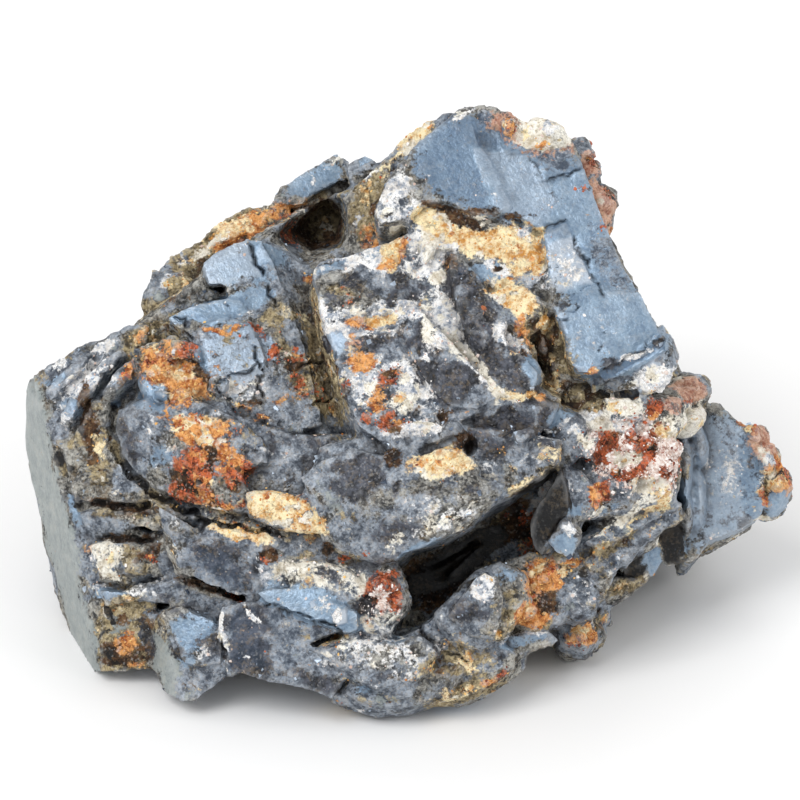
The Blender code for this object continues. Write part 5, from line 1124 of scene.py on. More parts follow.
    def mottle(self, layers: dict[Mineral, Array], points: Array, noise: NoiseField) -> None:
        """Gives a part of each host mineral's weight to its guest, where noise is in its highest share.

        Args:
            layers: the weights, which change in place.
            points: an N x 3 array of millimetres.
            noise: the stone's noise.
        """
        for order, mottle in enumerate(MOTTLES):
            there = np.flatnonzero(layers[mottle.host] > 0.03)
            if not len(there):
                continue
            wave = noise.rough(points[there], mottle.size, 2, 1200 + 70 * order)
            edge = np.quantile(wave[:: max(1, len(wave) // 5000)], 1 - mottle.share)
            moved = layers[mottle.host][there] * mottle.strength * smooth_rise(edge - 0.12, edge + 0.16, wave)
            layers[mottle.host][there] -= moved
            layers[mottle.guest][there] += moved

    def groove(self, points: Array) -> Array:
        """The depth of the cracks at each point: d exp(-(across / width)^2), fading past each end.

        Args:
            points: an N x 3 array of millimetres.

        Returns:
            An array of N depths, in millimetres.
        """
        place = to_display(points)
        depth_at = np.zeros(len(points))
        for heart, half, width, depth, turn in self.grooves:
            near = np.flatnonzero(np.all(np.abs(place - heart) < (half + 1, half + 1, half + 2), axis=1))
            offset = place[near] - heart
            along = offset[:, 0] * math.cos(turn) + offset[:, 1] * math.sin(turn)
            across = offset[:, 1] * math.cos(turn) - offset[:, 0] * math.sin(turn)
            wobble = 0.12 * np.sin(along * 2.9 + heart[0]) + 0.07 * np.sin(along * 6.1 + heart[1])
            ends = 1 - smooth_rise(half * 0.8, half * 1.1 + 0.1, np.abs(along))
            cut = depth * ends * np.exp(-(((across + wobble) / width) ** 2))
            depth_at[near] = np.maximum(depth_at[near], cut)
        return depth_at

    def pane_marks(self, points: Array) -> tuple[Array, Array]:
        """How far the cleavage panes stand off, and their painted reflection and shade, where a point is
        inside an outline.

        Args:
            points: an N x 3 array of millimetres.

        Returns:
            An array of N lifts, in millimetres, and one of N painted shades.
        """
        place = to_display(points)
        lift = np.zeros(len(points))
        shade = np.zeros(len(points))
        for pane, out in self.panes:
            edge = np.array([placed(*corner) for corner in pane.outline])
            ahead = np.roll(edge, -1, axis=0)
            turned = np.sign(np.sum(edge[:, 0] * ahead[:, 1] - edge[:, 1] * ahead[:, 0]))
            along = (ahead - edge) / np.linalg.norm(ahead - edge, axis=1)[:, None]
            inside = np.full(len(points), 9.0)
            for corner, way in zip(edge, along):
                offset = place[:, :2] - corner
                inside = np.minimum(inside, turned * (way[0] * offset[:, 1] - way[1] * offset[:, 0]))
            close = 1 - smooth_rise(3.0, 4.0, np.abs(place[:, 2] - out))
            cover = smooth_rise(-0.08, 0.08, inside) * close
            lift += pane.lift * cover
            shade += (pane.shade - shade) * cover
        return lift, shade


@dataclass
class Stone:
    """The whole specimen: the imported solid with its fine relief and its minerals."""

    name: str = "galena_stone"
    voxel: float = 0.2
    quick_voxel: float = 0.36
    triangles: int = 196_000
    quick_triangles: int = 90_000
    seed: int = 21
    base_clear: float = 0.25
    hidden_facing: float = 0.05
    hidden_loss: float = 0.75
    sharp_angle: float = 38.0
    filling_depth: float = 4.0
    piece: bpy.types.Object | None = None
    minerals: dict[Mineral, Array] = field(default_factory=dict)

    def build(self, marks: MineralMap) -> bpy.types.Object:
        """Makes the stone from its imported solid.

        Args:
            marks: where the minerals, cracks and panes are.

        Returns:
            The finished piece.
        """
        noise = NoiseField(self.seed)
        self.net()
        self.carve(self.piece.data, marks, noise)
        self.thin()
        self.paint(self.piece.data, marks, noise)
        self.piece.data.shade_smooth()
        self.piece.data.set_sharp_from_angle(angle=math.radians(self.sharp_angle))
        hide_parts(NODE)
        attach(self.piece, "root")
        log.info("%s: %d triangles", self.name, len(self.piece.data.polygons))
        return self.piece

    def start(self) -> bpy.types.Object:
        """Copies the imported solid, and lodges crust in its clefts.

        Returns:
            The new object, still with the solid's flat faces.
        """
        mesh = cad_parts[NODE].data.copy()
        mesh.name = self.name
        shape = bmesh.new()
        shape.from_mesh(mesh)
        bmesh.ops.remove_doubles(shape, verts=shape.verts, dist=1e-6)
        for filling in FILLINGS:
            bmesh.ops.create_icosphere(shape, subdivisions=3, radius=1.0, matrix=self.lodged(filling))
        shape.to_mesh(mesh)
        shape.free()
        self.piece = bpy.data.objects.new(self.name, mesh)
        bpy.context.collection.objects.link(self.piece)
        bpy.context.view_layer.update()
        return self.piece

    def lodged(self, filling: Filling) -> Matrix:
        """Stretches and turns a ball of radius 1 to a filling, whose front is at the filling's out.

        Args:
            filling: the crust in one cleft.

        Returns:
            The ball's matrix, in metres.
        """
        heart = np.array(((filling.right, filling.up, filling.out - self.filling_depth),))
        turn = math.radians(filling.turn)
        stretched = np.eye(4)
        stretched[:3, 0] = (RIGHT * math.cos(turn) + UP * math.sin(turn)) * filling.long * MM
        stretched[:3, 1] = (UP * math.cos(turn) - RIGHT * math.sin(turn)) * filling.short * MM
        stretched[:3, 2] = OUT * self.filling_depth * MM
        stretched[:3, 3] = from_display(heart)[0] * MM
        return Matrix(stretched)

    def net(self) -> None:
        """Turns the piece into one even fine net, which joins the crust to the solid."""
        net = self.piece.modifiers.new("Net", "REMESH")
        net.mode = "VOXEL"
        net.voxel_size = self.voxel * MM
        self.settle(self.piece)

    def settle(self, piece: bpy.types.Object) -> None:
        """Applies the piece's modifiers to its mesh."""
        viewed = piece.evaluated_get(bpy.context.evaluated_depsgraph_get())
        mesh = bpy.data.meshes.new_from_object(viewed)
        piece.modifiers.clear()
        old = piece.data
        piece.data = mesh
        bpy.data.meshes.remove(old)
        mesh.name = self.name

    def carve(self, mesh: bpy.types.Mesh, marks: MineralMap, noise: NoiseField) -> None:
        """Moves the net along its normals into the fine relief of the stone.

        The move is the sum of cleavage steps (a number for each lattice cell, at three sizes),
        granules (0.5 less the distance to the nearest grain), undulation, panes and cracks.

        Args:
            mesh: the net.
            marks: where the minerals, cracks and panes are.
            noise: the stone's noise.
        """
        points = points_of(mesh)
        normals = normals_of(mesh)
        layers = marks.weights(points, relaxed(normals, edges_of(mesh), 4), noise)
        grain = sum(FINISHES[kind].grain * layer for kind, layer in layers.items())
        step = sum(FINISHES[kind].step * layer for kind, layer in layers.items())
        move = -step * self.cleavage(points, noise)
        near, number = noise.grains(points, 0.55, 300)
        move += 1.5 * grain * (0.55 - near) * (0.6 + number)
        move += (0.18 * grain / 0.16 + 0.04) * noise.rough(points, 2.6, 4, 60)
        move += marks.pane_marks(points)[0] - marks.groove(points)
        move *= smooth_rise(0.0, self.base_clear, points[:, 2] - 0.05)
        move_points(mesh, points + normals * move[:, None])
        self.keep_in_box(mesh)

    def keep_in_box(self, mesh: bpy.types.Mesh) -> None:
        """Brings back any point that has left the solid's box.

        Args:
            mesh: the mesh to change.
        """
        low, high = (np.array(corner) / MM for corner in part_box(NODE))
        move_points(mesh, np.clip(points_of(mesh), low, high))

    def cleavage(self, points: Array, noise: NoiseField) -> Array:
        """Stepped relief along the lattice: cells of three sizes, each row shifted as bricks are.

        Args:
            points: an N x 3 array of millimetres.
            noise: the stone's noise.

        Returns:
            An array of N numbers, from 0 up to about 1.
        """
        along = points @ lattice_axes().T
        total = np.zeros(len(points))
        for layer, (size, strength) in enumerate(((3.4, 0.45), (1.5, 0.35), (0.6, 0.2))):
            cells = along / (size * np.array((1.0, 1.6, 0.7)))
            row = np.floor(cells[:, [1, 2, 0]] + 0.37 * layer)
            shifted = np.floor(cells + 0.5 * (row % 2) + 0.21 * layer)
            total += strength * noise.of_cells(shifted, 40 + layer) ** 1.6
        return total

    def thin(self) -> None:
        """Drops triangles where the net is flat, first on the hidden sides, down to the piece's limit."""
        wanted = self.triangles
        piece = self.piece
        hidden = np.flatnonzero(normals_of(piece.data) @ OUT < self.hidden_facing)
        group = piece.vertex_groups.new(name="hidden")
        group.add(hidden.tolist(), 1.0, "REPLACE")
        count = self.triangle_count()
        share = len(hidden) / len(piece.data.vertices)
        self.collapse(1 - share * self.hidden_loss, "hidden")
        log.info("%s: %d of %d triangles after the hidden sides", self.name, self.triangle_count(), count)
        piece.vertex_groups.clear()
        self.collapse(wanted / self.triangle_count(), "")
        self.keep_in_box(piece.data)

    def triangle_count(self) -> int:
        """How many triangles the piece has."""
        sides = np.empty(len(self.piece.data.polygons), dtype=np.int32)
        self.piece.data.polygons.foreach_get("loop_total", sides)
        return int(np.sum(sides - 2))

    def collapse(self, ratio: float, group: str) -> None:
        """Collapses edges, the flattest first.

        Args:
            ratio: the share of triangles to keep.
            group: the vertex group to which it is limited, or nothing.
        """
        cut = self.piece.modifiers.new("Thin", "DECIMATE")
        cut.ratio = min(1.0, ratio)
        cut.vertex_group = group
        cut.vertex_group_factor = 0.0
        cut.use_collapse_triangulate = True
        self.settle(self.piece)

    def paint(self, mesh: bpy.types.Mesh, marks: MineralMap, noise: NoiseField) -> None:
        """Stores where the minerals lie, how far each point stands out or sinks, the painted shade of the
        cracks, and the panes' painted reflection and shade.

        Each mineral's number is its share of itself and everything below it, so that laying them one
        over the other gives the weights back. The rise is how far a point stands above its surroundings.

        Args:
            mesh: the finished mesh.
            marks: where the minerals are.
            noise: the stone's noise.
        """
        points = points_of(mesh)
        normals = normals_of(mesh)
        edges = edges_of(mesh)
        layers = marks.weights(points, relaxed(normals, edges, 10), noise)
        below = np.zeros(len(points))
        for kind, layer in layers.items():
            below += layer
            set_attribute(mesh, kind.value, layer / np.maximum(below, 1e-6))
        # how far each point stands out: the small scale lightens raised points and paints shade in pits, the
        # large one paints shade in hollows
        for name, rounds, scale in (("rise_and_pit_shade", 3, 0.09), ("swell_for_hollow_shade", 40, 0.5)):
            above = np.sum((points - relaxed(points, edges, rounds)) * normals, axis=1) / scale
            set_attribute(mesh, name, relaxed(np.clip(above, -1, 1)[:, None], edges, 1)[:, 0])
        # painted shade along the cracks
        set_attribute(mesh, "crack", smooth_rise(0.05, 0.22, marks.groove(points)))
        # the panes' painted reflection and shade
        set_attribute(mesh, "pane", marks.pane_marks(points)[1])
        self.minerals = layers


def tone(colour: tuple[int, int, int]) -> tuple[float, float, float, float]:
    """The linear colour of an sRGB one: c / 12.92 below 0.04045, ((c + 0.055) / 1.055)^2.4 above.

    Args:
        colour: red, green and blue, from 0 to 255.

    Returns:
        Red, green, blue and an alpha of 1.
    """
    shares = [part / 255 for part in colour]
    linear = [s / 12.92 if s <= 0.04045 else ((s + 0.055) / 1.055) ** 2.4 for s in shares]
    return (*linear, 1.0)


@dataclass
class NodeBoard:
    """A node tree with short calls to add nodes, fill their inputs and join them."""

    tree: bpy.types.NodeTree

    def add(self, kind: str, inputs: dict | None = None, **settings: object) -> bpy.types.Node:
        """Adds a node.

        Args:
            kind: the node's type, with or without its ShaderNode start.
            inputs: for each input's name or place, a socket to join or a value to set.
            settings: the node's own properties.

        Returns:
            The node.
        """
        node = self.tree.nodes.new(kind if kind.startswith("Node") else f"ShaderNode{kind}")
        for key, value in settings.items():
            setattr(node, key, value)
        for key, value in (inputs or {}).items():
            self.fill(node.inputs[key], value)
        return node

    def fill(self, socket: Socket, value: object) -> None:
        """Joins a socket to another one, or sets its value."""
        if isinstance(value, bpy.types.NodeSocket):
            self.tree.links.new(value, socket)
        else:
            socket.default_value = value

    def math(self, operation: str, *values: object, clamp: bool = False) -> Socket:
        """Adds a Math node.

        Args:
            operation: what it does.
            values: its inputs, in order.
            clamp: whether the result is held from 0 to 1.

        Returns:
            Its output.
        """
        inputs = dict(enumerate(values))
        return self.add("Math", inputs, operation=operation, use_clamp=clamp).outputs[0]

    def mix(self, share: object, low: object, high: object, colour: bool = True) -> Socket:
        """Adds a Mix node.

        Args:
            share: how much of high.
            low: the colour or number at 0.
            high: the colour or number at 1.
            colour: whether colours are mixed, and not numbers.

        Returns:
            Its output.
        """
        start = 6 if colour else 2
        node = self.add("Mix", data_type="RGBA" if colour else "FLOAT")
        for place, value in ((0, share), (start, low), (start + 1, high)):
            self.fill(node.inputs[place], value)
        return node.outputs[2 if colour else 0]

    def total(self, start: object, *terms: tuple[object, float]) -> object:
        """The start plus the sum of value * share over the terms whose share isn't 0."""
        for value, share in terms:
            if share:
                start = self.math("MULTIPLY_ADD", value, share, start)
        return start

    def product(self, first: object, *others: object) -> object:
        """The first value times all the others."""
        for other in others:
            first = self.math("MULTIPLY", first, other)
        return first

    def rise(self, value: object, low: object, high: object) -> Socket:
        """A smooth rise from 0 at low to 1 at high."""
        inputs = {"Value": value, "From Min": low, "From Max": high}
        node = self.add("MapRange", inputs, interpolation_type="SMOOTHSTEP")
        return node.outputs["Result"]


@dataclass
class ShaderGroups:
    """The node groups that the stone's and the grains' materials share."""

    made: dict[str, bpy.types.NodeTree] = field(default_factory=dict)

    def start(self, name: str, inputs: dict[str, str], outputs: dict[str, str]) -> NodeBoard:
        """Starts a group with its sockets.

        Args:
            name: the group's name.
            inputs: each input's name and kind.
            outputs: each output's name and kind.

        Returns:
            A board on the new group.
        """
        tree = bpy.data.node_groups.new(name, "ShaderNodeTree")
        for way, sockets in (("INPUT", inputs), ("OUTPUT", outputs)):
            for label, kind in sockets.items():
                tree.interface.new_socket(label, in_out=way, socket_type=f"NodeSocket{kind}")
        self.made[name] = tree
        return NodeBoard(tree)

    def place(self, board: NodeBoard, name: str, inputs: dict) -> bpy.types.Node:
        """Places a made group on a board.

        Args:
            board: where it goes.
            name: the group's name.
            inputs: its inputs.

        Returns:
            The group's node.
        """
        node = board.tree.nodes.new("ShaderNodeGroup")
        node.node_tree = self.made[name]
        for key, value in inputs.items():
            board.fill(node.inputs[key], value)
        return node

    def build(self) -> None:
        """Makes every group."""
        self.build_stone_noise()
        self.build_cleavage()
        self.build_layer()

    def build_stone_noise(self) -> None:
        """Blotches and specks (three noises at each of two sizes), granules, seams and hairline veins."""
        board = self.start(
            "stone_noise",
            {"Vector": "Vector"},
            {
                "Blotch A": "Float", "Blotch B": "Float", "Blotch C": "Float",
                "Speck A": "Float", "Speck B": "Float", "Speck C": "Float",
                "Granule": "Float", "Granule Tone": "Float", "Fine Granule": "Float",
                "Fine Tone": "Float", "Seam": "Float", "Vein": "Float",
            },
        )
        start = board.add("NodeGroupInput").outputs["Vector"]
        blotch = board.add("TexNoise", {"Vector": start, "Scale": 900.0, "Detail": 6.0, "Roughness": 0.62})
        speck = board.add("TexNoise", {"Vector": start, "Scale": 3600.0, "Detail": 3.0, "Roughness": 0.65})
        granule = board.add("TexVoronoi", {"Vector": start, "Scale": 2600.0})
        fine = board.add("TexVoronoi", {"Vector": start, "Scale": 6200.0})
        seam = board.add("TexVoronoi", {"Vector": start, "Scale": 1500.0}, feature="DISTANCE_TO_EDGE")
        vein = board.add("TexNoise", {"Vector": start, "Scale": 420.0, "Detail": 6.0, "Distortion": 0.5})
        end = board.add("NodeGroupOutput")
        board.fill(end.inputs["Seam"], board.rise(seam.outputs["Distance"], 0.09, 0.0))
        centred = board.math("ABSOLUTE", board.math("SUBTRACT", vein.outputs[0], 0.5))
        board.fill(end.inputs["Vein"], board.rise(centred, 0.012, 0.002))
        for label, node in (("Blotch", blotch), ("Speck", speck)):
            parts = board.add("SeparateColor", {0: node.outputs["Color"]})
            for letter, part in zip("ABC", parts.outputs):
                board.fill(end.inputs[f"{label} {letter}"], part)
        for label, tint, node in (("Granule", "Granule Tone", granule), ("Fine Granule", "Fine Tone", fine)):
            board.fill(end.inputs[label], board.math("SUBTRACT", 1.0, node.outputs["Distance"]))
            parts = board.add("SeparateColor", {0: node.outputs["Color"]})
            board.fill(end.inputs[tint], parts.outputs[0])

    def build_cleavage(self) -> None:
        """Fine lines along two lattice directions."""
        board = self.start("cleavage", {"Vector": "Vector"}, {"Lines": "Float"})
        start = board.add("NodeGroupInput").outputs["Vector"]
        turned = board.add(
            "Mapping",
            {"Vector": start, "Rotation": Matrix(lattice_axes()).to_euler()},
            vector_type="POINT",
        ).outputs[0]
        noises = []
        for stretch in ((420.0, 5200.0, 2600.0), (4200.0, 500.0, 2400.0)):
            drawn = board.add("VectorMath", {0: turned, 1: stretch}, operation="MULTIPLY").outputs[0]
            noises.append(board.add("TexNoise", {"Vector": drawn, "Scale": 1.0, "Detail": 3.0}).outputs[0])
        end = board.add("NodeGroupOutput")
        board.fill(end.inputs["Lines"], board.math("MAXIMUM", *noises))

    def build_layer(self) -> None:
        """One mineral laid over what is below it.

        Its ragged edge is a smooth rise of mask + rim about 0.5, and its colour runs from dark to light
        with tone.
        """
        board = self.start(
            "mineral_layer",
            {
                "Color": "Color", "Roughness": "Float", "Metallic": "Float", "Height": "Float",
                "Mask": "Float", "Rim": "Float", "Tone": "Float", "Dark": "Color", "Light": "Color",
                "Own Roughness": "Float", "Own Metallic": "Float", "Own Height": "Float",
            },
            {"Color": "Color", "Roughness": "Float", "Metallic": "Float", "Height": "Float"},
        )
        start = board.add("NodeGroupInput").outputs
        edge = board.rise(board.math("ADD", start["Mask"], start["Rim"]), 0.33, 0.67)
        own = board.mix(board.rise(start["Tone"], 0.0, 1.0), start["Dark"], start["Light"])
        end = board.add("NodeGroupOutput")
        board.fill(end.inputs["Color"], board.mix(edge, start["Color"], own))
        for label in ("Roughness", "Metallic", "Height"):
            mixed = board.mix(edge, start[label], start[f"Own {label}"], colour=False)
            board.fill(end.inputs[label], mixed)


@dataclass(frozen=True)
class MineralTexture:
    """How a mineral's tone is made up of the shared noises, and how high its grain is in bump."""

    blotch: float = 0.5
    speck: float = 0.5
    granule: float = 0.0
    fine: float = 0.3
    lines: float = 0.0
    bias: float = 0.0
    height: float = 0.5


TEXTURES: dict[Mineral, MineralTexture] = {
    M.MATRIX: MineralTexture(1.0, 1.0, 0.3, 0.5, 0.0, -0.05, 0.8),
    M.SLATE: MineralTexture(0.9, 0.65, 0.1, 0.3, 0.4, 0.0, 0.35),
    M.STEEL: MineralTexture(0.4, 0.45, 0.0, 0.2, 0.3, 0.0, 0.15),
    M.CHARCOAL: MineralTexture(1.0, 0.8, 0.2, 0.3, 0.15, -0.05, 0.5),
    M.PEWTER: MineralTexture(0.6, 0.5, 0.0, 0.1, 0.0, 0.0, 0.1),
    M.FROST: MineralTexture(1.1, 1.0, 0.4, 0.4, 0.05, 0.15, 0.7),
    M.OLIVE: MineralTexture(1.0, 1.1, 0.2, 0.5, 0.0, 0.0, 0.8),
    M.UMBER_STAIN_AND_SHADE: MineralTexture(0.9, 0.9, 0.2, 0.3, 0.0, -0.1, 0.9),
    M.CREAM: MineralTexture(1.0, 1.0, 0.3, 0.4, 0.0, 0.15, 0.7),
    M.OCHRE: MineralTexture(1.3, 0.9, 0.3, 0.3, 0.0, 0.1, 0.9),
    M.ORANGE: MineralTexture(1.1, 1.0, 0.5, 0.4, 0.0, 0.05, 1.1),
    M.RUST: MineralTexture(0.8, 1.0, 0.8, 0.4, 0.0, 0.0, 1.1),
    M.DRUSE: MineralTexture(1.1, 0.6, 0.8, 0.3, 0.0, 0.15, 1.3),
    M.ROSE: MineralTexture(0.8, 0.8, 0.4, 0.3, 0.0, 0.05, 0.8),
    M.SHADE_BLACK: MineralTexture(0.7, 0.8, 0.1, 0.3, 0.1, -0.25, 0.1),
}


@dataclass
class StoneMaterial:
    """The stone's own material: fifteen minerals laid over each other by their attributes.

    Ragged is how far noise moves a mineral's edge. The shares are how much each noise weighs in a
    mineral's tone, line_level is the cleavage lines' mean, and relief is the bump's depth in metres.
    """

    groups: ShaderGroups
    name: str = "galena_and_crusts"
    ragged: float = 2.07
    blotch_share: float = 2.6
    speck_share: float = 1.7
    granule_share: float = 0.8
    fine_share: float = 0.55
    line_share: float = 1.6
    line_level: float = 0.56
    line_height: float = 0.8
    bump_strength: float = 0.6
    relief: float = 0.00022

    def build(self) -> bpy.types.Material:
        """Makes the material.

        Returns:
            The material.
        """
        material = bpy.data.materials.new(self.name)
        material.use_nodes = True
        material.node_tree.nodes.clear()
        board = NodeBoard(material.node_tree)
        place = board.add("TexCoord").outputs["Object"]
        noise = self.groups.place(board, "stone_noise", {"Vector": place}).outputs
        cleavage = self.groups.place(board, "cleavage", {"Vector": place}).outputs
        shared = [self.shared(board, noise, *letters) for letters in ("AB", "BC", "CA")]
        under: dict[str, object] = {
            "Color": tone((120, 120, 118)), "Roughness": 0.8, "Metallic": 0.0, "Height": 0.5,
        }
        for order, kind in enumerate(Mineral):
            under = self.laid(board, under, kind, shared[order % 3], noise, cleavage)
        colour = self.weathered_and_shaded(board, under["Color"], under["Roughness"], noise)
        bump = board.add(
            "Bump", {"Height": under["Height"], "Strength": self.bump_strength, "Distance": self.relief}
        )
        shader = board.add(
            "BsdfPrincipled",
            {
                "Base Color": colour,
                "Roughness": under["Roughness"],
                "Metallic": under["Metallic"],
                "Normal": bump.outputs[0],
                "Specular IOR Level": 0.4,
            },
        )
        board.add("OutputMaterial", {"Surface": shader.outputs[0]})
        return material

    def shared(self, board: NodeBoard, noise: object, letter: str, other: str) -> dict:
        """What every third mineral has in common, made once, so that the material stays quick.

        Args:
            board: the material's board.
            noise: the outputs of stone_noise.
            letter: the noise of these minerals' specks and edges.
            other: the noise of their blotches.

        Returns:
            The rim that makes edges ragged, the grit and pits of the height, and the tone's noises.
        """
        edge = self.ragged
        blotch, speck = noise[f"Blotch {letter}"], noise[f"Speck {letter}"]
        rim = board.total(
            -0.67 * edge, (blotch, 0.7 * edge), (noise[f"Speck {other}"], 0.45 * edge),
            (noise["Fine Tone"], 0.06 * edge), (noise["Granule Tone"], 0.09 * edge),
        )
        grit = board.total(noise["Granule"], (noise["Fine Granule"], 0.35), (speck, 0.5))
        pits = board.math("MULTIPLY", speck, 0.4)
        return {"rim": rim, "grit": grit, "pits": pits, "blotch": noise[f"Blotch {other}"], "speck": speck}

    def laid(self, board: NodeBoard, under: dict, kind: Mineral, shared: dict, noise: object,
             cleavage: object) -> dict:
        """Lays one mineral over the ones before it.

        Args:
            board: the material's board.
            under: the colour, roughness, metal and height so far.
            kind: the mineral.
            shared: what it has in common with every third mineral.
            noise: the outputs of stone_noise.
            cleavage: the outputs of cleavage.

        Returns:
            The new colour, roughness, metal and height.
        """
        finish, texture = FINISHES[kind], TEXTURES[kind]
        parts = (
            (shared["blotch"], texture.blotch * self.blotch_share, 0.5),
            (shared["speck"], texture.speck * self.speck_share, 0.5),
            (noise["Granule Tone"], texture.granule * self.granule_share, 0.5),
            (noise["Fine Tone"], texture.fine * self.fine_share, 0.5),
            (cleavage["Lines"], texture.lines * self.line_share, self.line_level),
        )
        middle = sum(share * level for _, share, level in parts)
        shade = board.total(0.5 + texture.bias - middle, *(part[:2] for part in parts))
        height = board.math("MULTIPLY_ADD", shared["grit"], texture.height, shared["pits"])
        height = board.total(height, (cleavage["Lines"], texture.lines * self.line_height))
        node = self.groups.place(board, "mineral_layer", {
            **under,
            "Mask": board.add("Attribute", attribute_name=kind.value).outputs["Fac"],
            "Rim": shared["rim"],
            "Tone": shade,
            "Dark": tone(finish.dark),
            "Light": tone(finish.light),
            "Own Roughness": finish.rough,
            "Own Metallic": finish.metal,
            "Own Height": height,
        })
        return {label: node.outputs[label] for label in ("Color", "Roughness", "Metallic", "Height")}

    def weathered_and_shaded(self, board: NodeBoard, colour: Socket, rough: Socket, noise: object) -> Socket:
        """Dusts and speckles the surface, lightens points that stand out, and paints the panes' reflection
        and shade and the shade in pits, hollows and cracks.

        Args:
            board: the material's board.
            colour: the minerals' colour.
            rough: the minerals' roughness: the rougher, the more they are speckled.
            noise: the outputs of stone_noise.

        Returns:
            The colour, weathered, with its painted shade and reflection.
        """
        pane, rise_and_pit_shade, swell_for_hollow_shade, crack = (
            board.add("Attribute", attribute_name=label).outputs["Fac"]
            for label in ("pane", "rise_and_pit_shade", "swell_for_hollow_shade", "crack")
        )
        smooth = board.rise(rough, 0.62, 0.42)
        coarse = board.rise(rough, 0.36, 0.62)
        dusty = board.total(board.product(noise["Blotch C"], 0.5), (noise["Speck C"], 0.5))
        speckle = board.math("MULTIPLY_ADD", coarse, 0.17, 0.02)
        torn = board.product(coarse, board.rise(noise["Blotch A"], 0.5, 0.62))
        coats_and_shades = (
            # painted reflection and shade on the cleavage panes, pale ones and deep ones
            (board.product(board.math("MAXIMUM", pane, 0.0), 0.6, smooth), (208, 214, 222)),
            (board.product(board.math("MINIMUM", pane, 0.0), -0.6, smooth), (70, 92, 118)),
            # dust, and salt and pepper specks
            (
                board.product(board.rise(dusty, 0.5, 0.6), board.math("MULTIPLY_ADD", coarse, 0.2, 0.1)),
                (158, 136, 102),
            ),
            (board.product(board.rise(noise["Fine Tone"], 0.88, 0.96), speckle), (228, 228, 226)),
            (board.product(board.rise(noise["Fine Tone"], 0.14, 0.05), speckle), (30, 28, 28)),
            # seams between grains, and hairline veins
            (board.product(torn, 0.4, noise["Seam"]), (46, 36, 28)),
            (board.product(torn, 0.4, noise["Vein"]), (40, 38, 40)),
            # points that stand out are lightened; painted shade darkens pits, hollows and cracks
            (board.product(board.rise(rise_and_pit_shade, 0.25, 1.0), 0.16), (226, 228, 230)),
            (board.product(board.rise(board.product(rise_and_pit_shade, -1.0), 0.2, 1.0), 0.45), (40, 32, 26)),
            (board.product(board.rise(board.product(swell_for_hollow_shade, -1.0), 0.15, 1.0), 0.45), (26, 20, 16)),
            (board.product(crack, 0.9), (14, 10, 9)),
        )
        for share, tint in coats_and_shades:
            colour = board.mix(share, colour, tone(tint))
        return colour


@dataclass(frozen=True)
class GrainFinish:
    """A crust grain's look."""

    name: str
    dark: tuple[int, int, int]
    light: tuple[int, int, int]
    rough: float
    metal: float = 0.0
    coat: float = 0.0

    def build(self, groups: ShaderGroups) -> bpy.types.Material:
        """Makes the grain's material: dark to light from grain to grain, with fine specks.

        Args:
            groups: the shared node groups.

        Returns:
            The material.
        """
        material = bpy.data.materials.new(self.name)
        material.use_nodes = True
        material.node_tree.nodes.clear()
        board = NodeBoard(material.node_tree)
        place = board.add("TexCoord").outputs["Object"]
        noise = groups.place(board, "stone_noise", {"Vector": place}).outputs
        own = board.add("Attribute", attribute_name="own_tone").outputs["Fac"]
        specks = board.math("MULTIPLY_ADD", board.math("SUBTRACT", noise["Speck A"], 0.5), 0.9, own)
        colour = board.mix(board.rise(specks, 0.0, 1.0), tone(self.dark), tone(self.light))
        bump = board.add("Bump", {"Height": noise["Speck B"], "Strength": 0.3, "Distance": 0.00006})
        shader = board.add(
            "BsdfPrincipled",
            {
                "Base Color": colour,
                "Roughness": self.rough,
                "Metallic": self.metal,
                "Coat Weight": self.coat,
                "Normal": bump.outputs[0],
            },
        )
        board.add("OutputMaterial", {"Surface": shader.outputs[0]})
        return material


